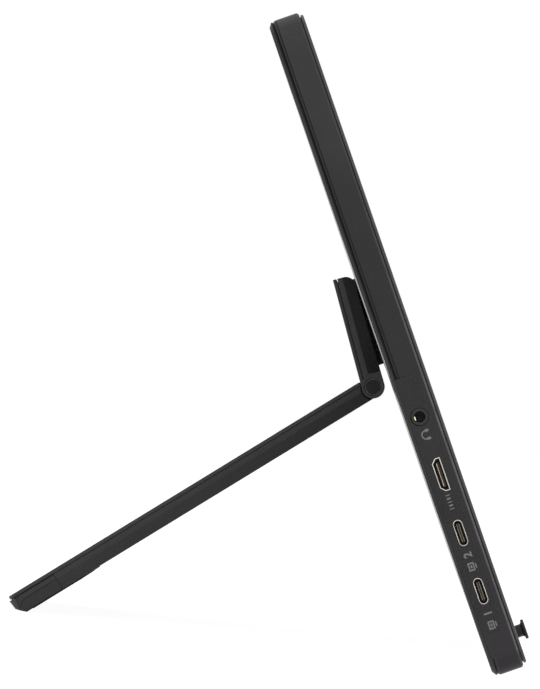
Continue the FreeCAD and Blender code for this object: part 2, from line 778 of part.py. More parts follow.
# Leaf, drawn closed against the back with its upper hinge at the origin:
# y is out of the plate and minus z runs down to the lower hinge.
shell_top = plate_out - cover_thick - seam
seam_top = plate_out - cover_thick
lower_z = -leaf_pitch
open_angle = math.radians(180 - leg_open)
set_back = (plate_out * (1 + math.cos(open_angle)) + clear) / math.sin(open_angle)
knuckle_room = barrel_radius + clear
ear_inner = half_stand - ear_width
lean = math.atan2(barrel_radius - leaf_nose, leaf_pitch)


def leaf_profile(top):
    """Side outline of the leaf up to a given height above its middle."""
    return [(top, leaf_nose), (0, leaf_nose), (-leaf_nose * math.sin(math.pi / 4),
            leaf_nose * math.cos(math.pi / 4)), (-leaf_nose, 0), (-barrel_radius, lower_z), (top, lower_z)]


leaf = prism_x(leaf_profile(shell_top), -half_stand, half_stand)
leaf = leaf.fuse(rod_x(leaf_nose, -half_stand, half_stand, 0, 0).common(
    block(-half_stand, half_stand, -leaf_nose, 0, -leaf_nose, leaf_nose)))
ridge = block(-half_stand + seam_inset, half_stand - seam_inset, 0, seam_top, lower_z + set_back,
              leaf_nose - seam_inset)
leaf = leaf.fuse(ridge)
leaf = leaf.cut(block(-half_stand - overrun, half_stand + overrun, shell_top - tiny, plate_out, lower_z - overrun,
                      lower_z + set_back))
bevel_end = lower_z + knuckle_room + clear
for side in (-1, 1):
    edge = side * half_stand
    start = plate_out - side_straight
    slope = Part.makePolygon([Vec(edge, start, bevel_end), Vec(edge, -barrel_radius - overrun, bevel_end),
                              Vec(edge - side * side_slope, -barrel_radius - overrun, bevel_end),
                              Vec(edge, start, bevel_end)])
    leaf = leaf.cut(Part.Face(slope).extrude(Vec(0, 0, leaf_nose - bevel_end + overrun)))
leaf = leaf.cut(rod_x(knuckle_room, -ear_inner, ear_inner, 0, lower_z))
for side in (-1, 1):
    x0 = side * ear_inner
    x1 = side * half_stand
    ear = rod_x(barrel_radius, min(x0, x1), max(x0, x1), 0, lower_z)
    neck = block(min(x0, x1), max(x0, x1), 0, plate_out, lower_z, lower_z + set_back)
    leaf = leaf.fuse([ear, neck])
    leaf = leaf.cut(rod_x(cap_disc + seat_fit, min(x1, x1 - side * (cap_disc_thick + cap_sink)),
                          max(x1, x1 - side * (cap_disc_thick + cap_sink)), 0, lower_z))
window_reach = bracket_half + clear
window_end = -(pivot_up + bracket_low) - clear - cheek_thick / 2
leaf = leaf.cut(block(-window_reach, window_reach, -barrel_radius - overrun, plate_out, window_end,
                      leaf_nose + overrun))
leaf = leaf.cut(rod_x(pin_radius + seat_fit, -window_reach - pin_reach, window_reach + pin_reach, 0, 0))
leaf = leaf.cut(rod_x(leg_pin_radius + seat_fit, -half_stand - overrun, half_stand + overrun, 0, lower_z))
leaf_run = leaf_nose - lower_z - set_back
leaf_spots = []
for across, up in leaf_screw_shares:
    for side in (-1, 1):
        leaf_spots.append((side * across * stand_width, leaf_nose - up * leaf_run))
screw_seat = seam_top - screw_grip - overrun
for x, z in leaf_spots:
    well = rod_y(screw_head + gap, x, z, -barrel_radius - overrun, screw_seat)
    leaf = leaf.cut(well)
    leaf = leaf.cut(screw_hole(x, z, screw_seat - tiny, 1, seam_top + gap - screw_seat))
leaf_cover = block(-half_stand, half_stand, seam_top, plate_out, lower_z + set_back, leaf_nose)
for x, z in leaf_spots:
    leaf_cover = leaf_cover.cut(screw_hole(x, z, seam_top - tiny, 1, screw_grip))
leaf_pieces = {"leaf_shell": leaf.removeSplitter(), "leaf_cover": leaf_cover}
leaf_pieces["leaf_pin"] = rod_x(pin_radius, -window_reach - pin_reach, window_reach + pin_reach, 0, 0)
sleeve_half = bracket_half - cheek_thick - clear
sleeve = rod_x(pin_radius + sleeve_wall, -sleeve_half, sleeve_half, 0, 0)
leaf_pieces["leaf_sleeve"] = sleeve.cut(rod_x(pin_radius + seat_fit, -half_stand, half_stand, 0, 0))
leaf_pieces["leaf_screws"] = Part.makeCompound([screw_y(x, z, screw_seat, 1, seam_top - screw_seat + screw_grip)
                                                for x, z in leaf_spots])
pin_half = half_stand - cap_disc_thick - cap_sink
leaf_pieces["leg_pin"] = rod_x(leg_pin_radius, -pin_half, pin_half, 0, lower_z)
caps = []
for side in (-1, 1):
    x0 = side * pin_half
    x1 = side * (pin_half + cap_disc_thick)
    caps.append(rod_x(cap_disc, min(x0, x1), max(x0, x1), 0, lower_z))
leaf_pieces["hinge_caps"] = Part.makeCompound(caps)

# Leg, drawn straight below the leaf with its hinge at the origin
tip = -leg_length
foot_z = tip + foot_start
leg = block(-half_stand, half_stand, -leg_in, shell_top, foot_z, -set_back)
leg = leg.fuse(block(-half_stand + seam_inset, half_stand - seam_inset, 0, seam_top, foot_z, -set_back))
for side in (-1, 1):
    edge = side * half_stand
    start = plate_out - side_straight
    slope = Part.makePolygon([Vec(edge, start, tip), Vec(edge, -leg_in - overrun, tip),
                              Vec(edge - side * side_slope, -leg_in - overrun, tip), Vec(edge, start, tip)])
    leg = leg.cut(Part.Face(slope).extrude(Vec(0, 0, leg_length)))
leg = leg.cut(rod_x(knuckle_room, -half_stand - overrun, half_stand + overrun, 0, 0))
knuckle_half = ear_inner - clear
web = block(-knuckle_half, knuckle_half, -leg_in, shell_top, -knuckle_room - overrun, 0)
barrel = rod_x(plate_out, -knuckle_half, knuckle_half, 0, 0)
leg = leg.fuse([web, barrel])
leg = leg.cut(rod_x(leg_pin_radius + run_fit, -half_stand, half_stand, 0, 0))
cavity_half = half_stand - leg_wall
cavity_low = foot_z + leg_wall
leg = leg.cut(block(-cavity_half, cavity_half, -leg_in + leg_floor, plate_out, cavity_low, -leg_cavity_start))
cavity_run = -leg_cavity_start - cavity_low
leg_spots = []
for across, down in leg_screw_shares:
    for side in (-1, 1):
        leg_spots.append((side * across * stand_width, -leg_cavity_start - down * cavity_run))
for x, z in leg_spots:
    leg = leg.fuse(rod_y(screw_head + leg_floor, x, z, -leg_in, seam_top))
for x, z in leg_spots:
    leg = leg.cut(rod_y(screw_head + gap, x, z, -leg_in - overrun, screw_seat))
    leg = leg.cut(screw_hole(x, z, screw_seat - tiny, 1, seam_top + gap - screw_seat))
leg_pieces = {"leg_shell": leg.removeSplitter()}
leg_cover = block(-half_stand, half_stand, seam_top, plate_out, tip + foot_draft, -set_back)
tips = [e for e in leg_cover.Edges if runs_along(e, Vec(0, 1, 0)) and e.BoundBox.ZMax < foot_z]
leg_cover = leg_cover.makeFillet(tip_round, tips)
for x, z in leg_spots:
    leg_cover = leg_cover.cut(screw_hole(x, z, seam_top - tiny, 1, screw_grip))
leg_pieces["leg_cover"] = leg_cover
stiffener = block(-cavity_half + gap, cavity_half - gap, -leg_in + leg_floor,
                  -leg_in + leg_floor + stiffener_thick, cavity_low + gap, -leg_cavity_start - gap)
for x, z in leg_spots:
    stiffener = stiffener.cut(rod_y(screw_head + leg_floor + gap, x, z, -leg_in, plate_out))
leg_pieces["leg_stiffener"] = stiffener
leg_pieces["leg_screws"] = Part.makeCompound([screw_y(x, z, screw_seat, 1, seam_top - screw_seat + screw_grip)
                                              for x, z in leg_spots])
foot = prism_x([(shell_top, foot_z), (shell_top, tip), (-leg_in + foot_knee, tip + foot_draft),
                (-leg_in, tip + foot_heel + pad_end), (-leg_in, foot_z)], -half_stand, half_stand)
foot = foot.fuse(block(-half_stand + seam_inset, half_stand - seam_inset, 0, seam_top,
                       tip + seam_inset, foot_z))
for side in (-1, 1):
    edge = side * half_stand
    start = plate_out - side_straight
    slope = Part.makePolygon([Vec(edge, start, tip - overrun), Vec(edge, -leg_in - overrun, tip - overrun),
                              Vec(edge - side * side_slope, -leg_in - overrun, tip - overrun),
                              Vec(edge, start, tip - overrun)])
    foot = foot.cut(Part.Face(slope).extrude(Vec(0, 0, leg_length)))
corner_keep = block(-half_stand, half_stand, -plate_out - overrun, plate_out, tip, foot_z)
corners = [e for e in corner_keep.Edges if runs_along(e, Vec(0, 1, 0)) and e.BoundBox.ZMax < foot_z - tiny]
corner_keep = corner_keep.makeFillet(tip_round, corners)
leg_pieces["foot_cap"] = foot.common(corner_keep).removeSplitter()
pad_half = half_stand - side_slope - pad_side
pad_tip = tip + pad_end
pad = block(-pad_half, pad_half, -leg_in - pad_thick, -leg_in, pad_tip + foot_heel, tip + pad_long)
pad_edge = [e for e in pad.Edges if runs_along(e, Vec(1, 0, 0)) and e.BoundBox.YMax < -leg_in - tiny
            and e.BoundBox.ZMax < pad_tip + foot_heel + tiny]
leg_pieces["foot_pad"] = pad.makeFillet(contact_round, pad_edge)

# Put leaf and leg into the pose of the photograph
pivot = Vec(0, pivot_out, pivot_z)
lift = math.radians(leaf_lift)
knee = Vec(0, pivot_out + leaf_pitch * math.sin(lift), pivot_z - leaf_pitch * math.cos(lift))
leg_turn = leaf_lift + leg_open
axis_x = Vec(1, 0, 0)
leaf_place = FreeCAD.Placement(pivot, FreeCAD.Rotation(axis_x, leaf_lift))
leg_place = FreeCAD.Placement(knee, FreeCAD.Rotation(axis_x, leg_turn))
for name, shape in leaf_pieces.items():
    add(name, shape.transformed(leaf_place.toMatrix()))
for name, shape in leg_pieces.items():
    add(name, shape.transformed(leg_place.toMatrix()))

# Recline: the floor touches the round edge of the bottom strips and of the foot pad
strip_mid = Vec(0, -foot_strip_rear - contact_round, -foot_strip_drop + contact_round)
pad_mid_leg = Vec(0, -leg_in - pad_thick + contact_round, pad_tip + foot_heel + contact_round)
pad_mid = leg_place.multVec(pad_mid_leg)
recline = math.degrees(math.atan2(pad_mid.z - strip_mid.z, pad_mid.y - strip_mid.y))
tilt = FreeCAD.Rotation(axis_x, -recline)
lift_up = contact_round - tilt.multVec(strip_mid).z
tilted = {}
for name, shape in nodes.items():
    tilted[name] = shape.transformed(FreeCAD.Placement(Vec(0, 0, lift_up), tilt).toMatrix())
boxes = [shape.optimalBoundingBox(False, False) for shape in tilted.values()]
low_y = min(box.YMin for box in boxes)
high_y = max(box.YMax for box in boxes)
shift = Vec(0, -(low_y + high_y) / 2, 0)
frame_place = FreeCAD.Placement(shift.add(Vec(0, 0, lift_up)), tilt)

# Limits of the two stand hinges, from the closed stand
leaf_closed = math.degrees(lean) - leaf_lift
leg_closed = -leg_open - math.degrees(lean)

for name, shape in tilted.items():
    moved = shape.copy()
    moved.translate(shift)
    moved.exportStep("parts/" + name + ".step")
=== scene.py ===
import json
import math

import bmesh
import bpy
from bpy.props import FloatProperty, FloatVectorProperty, IntProperty, PointerProperty
from mathutils import Matrix, Vector

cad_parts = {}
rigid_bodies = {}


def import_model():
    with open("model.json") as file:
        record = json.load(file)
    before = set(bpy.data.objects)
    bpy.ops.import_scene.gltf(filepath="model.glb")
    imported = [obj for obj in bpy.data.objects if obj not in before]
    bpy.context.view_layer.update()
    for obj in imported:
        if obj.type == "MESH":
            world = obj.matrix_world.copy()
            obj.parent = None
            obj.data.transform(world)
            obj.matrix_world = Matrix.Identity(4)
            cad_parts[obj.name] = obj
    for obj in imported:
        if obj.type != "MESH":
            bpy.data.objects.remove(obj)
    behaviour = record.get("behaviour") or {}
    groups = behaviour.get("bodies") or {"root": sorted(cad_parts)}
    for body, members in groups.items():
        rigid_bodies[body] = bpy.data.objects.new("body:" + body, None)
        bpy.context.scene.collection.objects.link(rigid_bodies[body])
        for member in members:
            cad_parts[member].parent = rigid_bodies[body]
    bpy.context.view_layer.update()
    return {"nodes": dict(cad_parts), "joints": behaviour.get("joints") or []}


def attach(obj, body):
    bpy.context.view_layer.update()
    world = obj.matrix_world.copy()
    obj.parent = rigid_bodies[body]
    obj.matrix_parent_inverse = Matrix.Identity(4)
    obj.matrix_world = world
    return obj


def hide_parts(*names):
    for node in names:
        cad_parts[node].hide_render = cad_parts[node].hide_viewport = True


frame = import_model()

bl_info = {
    "name": "Portable monitor dressing",
    "version": (1, 0, 0),
    "blender": (4, 5, 0),
    "location": "3D View > Sidebar > Monitor",
    "description": "Dresses a packed portable monitor on its folding stand and sets its studio",
    "category": "Object",
}

MM = 0.001
JOINTS = {j["name"]: j for j in frame["joints"]}
BACK_WAY = Vector(JOINTS["turntable_turn"]["axis"])

# Height of the turntable above the bottom edge, and the leg's opening at rest
TURN_HEIGHT = 125.0
LEG_OPEN = math.radians(73.5)

# Joint between side wall and back, whose faces and scored line are darkened as painted shade; depths are
# measured out of the display's back
SEAM_FOOT = 20 * MM
SEAM_DEPTH = -4.0 * MM
SCORE_DEPTH, SCORE_WIDE, SCORE_DEEP, SCORE_REACH = -2.95 * MM, 0.45 * MM, 0.22 * MM, 2.7 * MM

# Side skirt of the back
SKIRT_LOW, SKIRT_HIGH, SKIRT_FRONT, SKIRT_BACK = 14.4 * MM, 102.5 * MM, -8.7 * MM, -2.1 * MM
SKIRT_ROUND, SKIRT_THICK, SKIRT_GROW = 2.0 * MM, 2.0 * MM, 0.09 * MM

# Seam under the stand's covers: its depth in the solids, the depth that is left, the ridge beside it
SEAM_INSET, SEAM_LEFT = 1.2 * MM, 0.3 * MM
RIDGE_UNDER, RIDGE_OVER = 0.4 * MM, 0.1 * MM

# Tolerances
MERGE, ON_CUT, ON_PLANE, NEAR = 2e-6, 1e-7, 1e-6, 0.02 * MM
FLAT_ANGLE, FACING = math.radians(0.05), 0.999

# Angles in degrees past which an edge shows sharp
EASED_SHARP, HEAD_SHARP, SPRING_SHARP = 38, 35, 40


def axes_matrix(x, y, z, origin):
    """Matrix that takes local coordinates in metres to the shared frame."""
    turned = Matrix((x, y, z)).transposed().to_4x4()
    turned.translation = origin
    return turned


def find_places():
    """Local frames of the display, the leaf and the leg, read from the joints."""
    x = Vector((1, 0, 0))
    up = x.cross(BACK_WAY)
    centre = Vector(JOINTS["turntable_turn"]["pos_m"])
    display = axes_matrix(x, BACK_WAY, up, centre - up * TURN_HEIGHT * MM)
    top = Vector(JOINTS["leaf_tilt"]["pos_m"])
    knee = Vector(JOINTS["leg_fold"]["pos_m"])
    leaf_up = (top - knee).normalized()
    leaf = axes_matrix(x, leaf_up.cross(x), leaf_up, top)
    leg_up = Matrix.Rotation(LEG_OPEN, 3, "X") @ leaf_up
    leg = axes_matrix(x, leg_up.cross(x), leg_up, knee)
    return {"display": display, "turntable": display, "leaf": leaf, "leg": leg}


PLACES = find_places()


def into(place):
    """Matrix from the shared frame to a local frame."""
    return PLACES[place].inverted()


def box_of(points):
    """Lowest and highest corner of some points."""
    points = list(points)
    return (Vector(min(p[i] for p in points) for i in range(3)),
            Vector(max(p[i] for p in points) for i in range(3)))


def local_box(node, place="display"):
    """Lowest and highest corner of a CAD node in a local frame, in metres."""
    back = into(place)
    return box_of(back @ v.co for v in frame["nodes"][node].data.vertices)


def middle_of(box):
    """Middle of a box given by two corners."""
    return (box[0] + box[1]) / 2


def merged(node):
    """A CAD node's loose triangles, joined at their corners."""
    bm = bmesh.new()
    bm.from_mesh(frame["nodes"][node].data)
    bmesh.ops.remove_doubles(bm, verts=bm.verts, dist=MERGE)
    return bm


def islands(node, place="display"):
    """Boxes of the separate solids in one CAD node, in a local frame."""
    back = into(place)
    bm = merged(node)
    left = set(bm.verts)
    boxes = []
    while left:
        stack = [left.pop()]
        found = list(stack)
        while stack:
            near = {v for edge in stack.pop().link_edges for v in edge.verts} & left
            left -= near
            stack.extend(near)
            found.extend(near)
        boxes.append(box_of(back @ v.co for v in found))
    bm.free()
    return sorted(boxes, key=lambda b: (round(b[0].x, 5), round(b[0].z, 5)))


# Sizes and colours

def colour(name, default, description):
    """A colour that a user may change."""
    return FloatVectorProperty(name=name, description=description, default=default, size=3,
                               subtype="COLOR", min=0.0, max=1.0)


def share(name, default, description):
    """A number from zero to one."""
    return FloatProperty(name=name, description=description, default=default, min=0.0, max=1.0,
                         subtype="FACTOR")


def length(name, default_mm, description):
    """A length, kept in metres."""
    return FloatProperty(name=name, description=description, default=default_mm * MM, min=0.0,
                         unit="LENGTH", precision=5)


def contacts(name, default, description):
    """A number of contacts."""
    return IntProperty(name=name, description=description, default=default, min=2, max=40)


def point(name, default, description):
    """A point in the shared frame."""
    return FloatVectorProperty(name=name, description=description, default=default, size=3,
                               subtype="TRANSLATION", unit="LENGTH")


class MonitorCaseSettings(bpy.types.PropertyGroup):
    """Finish of the moulded case."""
    wall: colour("Wall colour", (0.0073, 0.0070, 0.0072), "Charcoal of the side wall")
    # Painted light: the side wall is lighter towards its top
    top: colour("Painted light at the top of the wall", (0.0160, 0.0160, 0.0160), "Painted light on the side wall near its top")
    # Painted light with a faint violet tint: the side wall is lighter and more violet near the floor
    foot: colour("Wall tint and painted light at the foot", (0.0106, 0.0089, 0.0110), "Tone of the side wall near the floor")
    back: colour("Back colour", (0.0190, 0.0177, 0.0184), "Charcoal of the back and of its side skirt")
    front: colour("Front colour", (0.0260, 0.0258, 0.0262), "Tone of the front plate")
    # Edge colour: rubbed wear of the eased edges, with a painted highlight along them
    rim_wear_and_highlight: colour("Edge colour", (0.068, 0.067, 0.067), "Rubbed tone and painted highlight along the edges")
    roughness: share("Roughness", 0.45, "How matt the case is")
    grain: length("Grain depth", 0.04, "Depth of the moulded grain")
    edge: length("Edge width", 0.08, "Width of the eased edges")


class MonitorScreenSettings(bpy.types.PropertyGroup):
    """Finish of the screen."""
    glass: colour("Glass colour", (0.0052, 0.0054, 0.0062), "Tone of the unlit screen")
    border: colour("Border colour", (0.0030, 0.0030, 0.0032), "Tone of the printed border")
    roughness: share("Roughness", 0.20, "How much the screen scatters light")
    active_width: length("Active width", 344.2, "Width of the picture")
    active_height: length("Active height", 193.6, "Height of the picture")


class MonitorSocketSettings(bpy.types.PropertyGroup):
    """Finish of the sockets and of the marks beside them."""
    steel: colour("Socket steel", (0.46, 0.44, 0.41), "Plated steel of the socket shells")
    tongue: colour("Tongue colour", (0.016, 0.013, 0.010), "Plastic inside the sockets")
    gold: colour("Contact colour", (0.60, 0.50, 0.36), "Plated contacts")
    ink: colour("Mark colour", (0.165, 0.164, 0.166), "Printed marks")
    mark_rise: length("Mark thickness", 0.03, "Thickness of the printed marks")
    bulge: length("Spring bulge", 0.85, "How far the round socket's contact reaches into the bore")
    pads: contacts("Contacts", 12, "Contacts on one side of an oval socket's tongue")
    video_pads: contacts("Video contacts", 19, "Contacts on the flat socket's tongue")


class MonitorStandSettings(bpy.types.PropertyGroup):
    """Finish of the folding stand."""
    cover: colour("Cover colour", (0.0190, 0.0190, 0.0196), "Blasted dark metal of the covers")
    # Painted light: the leaf shell is the stand's shell plastic made lighter, for the fill light it misses
    leaf: colour("Leaf colour, painted lighter", (0.0290, 0.0290, 0.0295), "Moulded shell of the upper leaf")
    shell: colour("Shell colour", (0.0200, 0.0200, 0.0204), "Moulded shells of the stand")
    cap: colour("Hinge cap colour", (0.0086, 0.0086, 0.0089), "Caps at the hinge ends")
    rubber: colour("Rubber colour", (0.016, 0.016, 0.017), "Pads and strips")
    edge: length("Edge width", 0.16, "Width of the eased edges")
    rib_pitch: length("Rib pitch", 1.6, "Step from one rubber rib to the next")


class MonitorStageSettings(bpy.types.PropertyGroup):
    """Camera and light."""
    eye: point("Eye", (-1.910432, -0.035710, 0.093067), "Where the camera stands")
    aim: point("Aim", (0.0, 0.007872, 0.102243), "Point at the middle of the picture")
    roll: FloatProperty(name="Roll", description="Turn of the camera about its line of sight",
                        default=math.radians(5.405), subtype="ANGLE", unit="ROTATION")
    lens: FloatProperty(name="Lens", description="Focal length in millimetres", default=276.45, min=20.0)
    sky: share("Fill light", 0.50, "Strength of the even light from all round")
    paper: share("Paper white", 0.96, "Share of white that the floor shows under its shadows")


# Materials

def wire(tree, node, inputs):
    """Set inputs of a node to values, or link them from other nodes' outputs."""
    for socket, value in inputs.items():
        if isinstance(value, bpy.types.NodeSocket):
            tree.links.new(value, node.inputs[socket])
        else:
            node.inputs[socket].default_value = value


def step(tree, kind, inputs=None, **settings):
    """Add one node with its settings and inputs."""
    node = tree.nodes.new(kind)
    for name, value in settings.items():
        setattr(node, name, value)
    wire(tree, node, inputs or {})
    return node


def start_nodes(owner, end_kind):
    """The emptied node tree of a material or a world, with its output node."""
    owner.use_nodes = True
    tree = owner.node_tree
    tree.nodes.clear()
    return tree, step(tree, end_kind)


def start_material():
    """An empty material with its shader; the object's own coordinates feed its patterns."""
    material = bpy.data.materials.new("finish")
    tree, end = start_nodes(material, "ShaderNodeOutputMaterial")
    shader = step(tree, "ShaderNodeBsdfPrincipled")
    wire(tree, end, {"Surface": shader.outputs["BSDF"]})
    where = step(tree, "ShaderNodeTexCoord").outputs["Object"]
    return material, tree, shader, where


def scaled(shade, factor):
    """A colour made lighter or darker."""
    return tuple(c * factor for c in shade)


def noise(tree, where, scale, detail=3.0, roughness=0.55, stretch=None):
    """A noise pattern, stretched where a direction shows."""
    if stretch:
        where = step(tree, "ShaderNodeMapping", {"Vector": where, "Scale": stretch}).outputs["Vector"]
    made = step(tree, "ShaderNodeTexNoise", {"Vector": where, "Scale": scale, "Detail": detail,
                                             "Roughness": roughness})
    return made.outputs["Fac"]


def spread(tree, value, low, high, to_low=0.0, to_high=1.0):
    """Map one range of a pattern onto another."""
    made = step(tree, "ShaderNodeMapRange", {"Value": value, "From Min": low, "From Max": high,
                                             "To Min": to_low, "To Max": to_high})
    return made.outputs["Result"]


def matt_between(tree, pattern, low, high):
    """Roughness between two limits, led by a pattern."""
    return spread(tree, pattern, 0.3, 0.7, low, high)


def blend_colour(tree, factor, first, second):
    """Mix two colours by a pattern."""
    pair = [c if isinstance(c, bpy.types.NodeSocket) else (*c, 1.0) for c in (first, second)]
    return step(tree, "ShaderNodeMix", {0: factor, 6: pair[0], 7: pair[1]}, data_type="RGBA").outputs[2]


def reckon(tree, operation, first, second):
    """One sum of two patterns or numbers."""
    return step(tree, "ShaderNodeMath", {0: first, 1: second}, operation=operation).outputs[0]


def times(tree, first, second):
    """Product of two patterns or numbers."""
    return reckon(tree, "MULTIPLY", first, second)


def on_faces(tree, name):
    """A share that a mesh carries on its faces."""
    return step(tree, "ShaderNodeAttribute", attribute_name=name).outputs["Fac"]


def bumped(tree, shader, height, distance, strength):
    """Raise the surface by a pattern."""
    made = step(tree, "ShaderNodeBump", {"Height": height, "Distance": distance, "Strength": strength})
    wire(tree, shader, {"Normal": made.outputs["Normal"]})


# Grain of moulded plastic, in cells for each metre, how the tones of its mottle and specks are lifted, and
# how far painted shade darkens its seams
COARSE_GRAIN, FRONT_GRAIN, FINE_GRAIN = 1800.0, 3400.0, 3600.0
MOTTLE_LIFT, SPECK_LIFT, SEAM_SHADE = 1.5, 2.6, 0.4
CASE_GLOSS = 0.28

# Heights between which the side wall's edge wear and painted highlight fade out, and where its painted light
# at the foot and at the top is full and has faded out
WEAR_AND_HIGHLIGHT_FADE = (0.09, 0.15)
FOOT_TINT_AND_LIGHT, TOP_PAINTED_LIGHT = (0.03, 0.125), (0.185, 0.152)


def moulded_plastic(shade, rim_wear_and_highlight, roughness, grain, grain_size=COARSE_GRAIN, specular=CASE_GLOSS, wear_and_highlight_fade=None,
                    tints_and_painted_light=()):
    """Moulded plastic with a spark-eroded grain, a faint mottle, edges with rubbed wear and a painted
    highlight, seams darkened as painted shade, and smoother stretches.

    The rubbed tone and painted highlight of the edges fade out between the two heights of
    wear_and_highlight_fade.
    Each of the tints_and_painted_light is a colour, the height from which it is full and the height where it
    has faded out; on the side wall they are painted light, which makes the wall lighter at its top, and
    lighter and faintly violet at its foot.
    """
    material, tree, shader, where = start_material()
    fine = noise(tree, where, grain_size, detail=4.0, roughness=0.62)
    cells = step(tree, "ShaderNodeTexVoronoi", {"Vector": where, "Scale": grain_size * 0.62,
                                                "Smoothness": 0.6}, feature="SMOOTH_F1")
    mottle = spread(tree, noise(tree, where, 34.0), 0.36, 0.66)
    base = blend_colour(tree, mottle, shade, scaled(shade, MOTTLE_LIFT))
    height = step(tree, "ShaderNodeSeparateXYZ", {"Vector": where}).outputs["Z"]
    # Tones by height; on the side wall they are painted light at the top and at the foot
    for tone_by_height, full, faded in tints_and_painted_light:
        toned_by_height = blend_colour(tree, mottle, tone_by_height, scaled(tone_by_height, MOTTLE_LIFT))
        base = blend_colour(tree, spread(tree, height, full, faded, 1.0, 0.0), base, toned_by_height)
    base = blend_colour(tree, spread(tree, fine, 0.54, 0.70), base, scaled(shade, SPECK_LIFT))
    # Eased edges take the rim colour in patches, as rubbed wear with a painted highlight; on the side wall it
    # fades out with height
    patch = spread(tree, noise(tree, where, 160.0), 0.30, 0.62, 0.35, 1.0)
    if wear_and_highlight_fade:
        patch = times(tree, patch, spread(tree, height, *wear_and_highlight_fade, 1.0, 0.0))
    base = blend_colour(tree, times(tree, on_faces(tree, "edge_wear_and_highlight"), patch), base, rim_wear_and_highlight)
    # Faces in seams and grooves are darkened as painted shade, and made rougher
    seam, smooth = on_faces(tree, "edge_groove_shade"), on_faces(tree, "smooth_finish")
    base = blend_colour(tree, seam, base, scaled(shade, SEAM_SHADE))
    matt = spread(tree, fine, 0.25, 0.75, roughness - 0.07, roughness + 0.10)
    matt = times(tree, matt, spread(tree, smooth, 0.0, 1.0, 1.0, 0.55))
    matt = times(tree, matt, spread(tree, seam, 0.0, 1.0, 1.0, 1.5))
    wire(tree, shader, {"Base Color": base, "Roughness": matt, "Specular IOR Level": specular})
    raised = reckon(tree, "ADD", fine, cells.outputs["Distance"])
    bumped(tree, shader, raised, grain, spread(tree, smooth, 0.0, 1.0, 0.45, 0.04))
    return material


def blasted_metal(shade, lift, rim_wear_and_highlight, roughness):
    """Dark anodised metal, blasted to a fine even grain."""
    material, tree, shader, where = start_material()
    fine = noise(tree, where, 5200.0, detail=2.0, roughness=0.5)
    cloud = spread(tree, noise(tree, where, 22.0, detail=4.0), 0.34, 0.66)
    # Eased edges take the rim colour: rubbed wear with a painted highlight
    base = blend_colour(tree, on_faces(tree, "edge_wear_and_highlight"), blend_colour(tree, cloud, shade, lift), rim_wear_and_highlight)
    matt = matt_between(tree, fine, roughness - 0.05, roughness + 0.08)
    wire(tree, shader, {"Base Color": base, "Roughness": matt, "Metallic": 0.35})
    bumped(tree, shader, fine, distance=0.02 * MM, strength=0.5)
    return material


def drawn_metal(shade, roughness, stretch):
    """Plated or plain steel with drawing lines and small stains."""
    material, tree, shader, where = start_material()
    lines = noise(tree, where, 1.0, roughness=0.6, stretch=stretch)
    stain = spread(tree, noise(tree, where, 420.0), 0.38, 0.70)
    base = blend_colour(tree, stain, shade, scaled(shade, 0.72))
    matt = matt_between(tree, lines, roughness - 0.06, roughness + 0.12)
    wire(tree, shader, {"Base Color": base, "Roughness": matt, "Metallic": 1.0})
    bumped(tree, shader, lines, distance=0.01 * MM, strength=0.4)
    return material


def soft_rubber(shade):
    """Matt rubber with a dusty bloom."""
    material, tree, shader, where = start_material()
    fine = noise(tree, where, 3200.0)
    dust = spread(tree, noise(tree, where, 240.0, detail=4.0, roughness=0.65), 0.48, 0.75, 0.0, 0.8)
    base = blend_colour(tree, dust, shade, scaled(shade, 2.1))
    matt = matt_between(tree, fine, 0.72, 0.90)
    wire(tree, shader, {"Base Color": base, "Roughness": matt, "Specular IOR Level": 0.35})
    bumped(tree, shader, fine, distance=0.03 * MM, strength=0.6)
    return material


def clear_film(shade, roughness):
    """Optical film or clear plastic of the backlight."""
    material, tree, shader, where = start_material()
    haze = noise(tree, where, 900.0, detail=2.0)
    warm = tuple(c * k for c, k in zip(shade, (1.0, 0.985, 0.96)))
    wire(tree, shader, {"Base Color": blend_colour(tree, haze, shade, warm),
                        "Roughness": matt_between(tree, haze, roughness, roughness + 0.1)})
    return material


def solder_board(mask, track, tin):
    """Circuit board: lacquer over copper tracks, with tinned dots."""
    material, tree, shader, where = start_material()
    black, white = (0.0, 0.0, 0.0, 1.0), (1.0, 1.0, 1.0, 1.0)
    tracks = step(tree, "ShaderNodeTexBrick", {"Vector": where, "Scale": 190.0, "Mortar Size": 0.035,
                                               "Color1": black, "Color2": black, "Mortar": white})
    grid = tracks.outputs["Fac"]
    dots = step(tree, "ShaderNodeTexVoronoi", {"Vector": where, "Scale": 420.0}, feature="F1")
    pads = spread(tree, dots.outputs["Distance"], 0.10, 0.14, 1.0, 0.0)
    base = blend_colour(tree, pads, blend_colour(tree, grid, mask, track), tin)
    matt = matt_between(tree, noise(tree, where, 700.0), 0.28, 0.42)
    wire(tree, shader, {"Base Color": base, "Roughness": matt})
    bumped(tree, shader, grid, distance=0.02 * MM, strength=0.5)
    return material


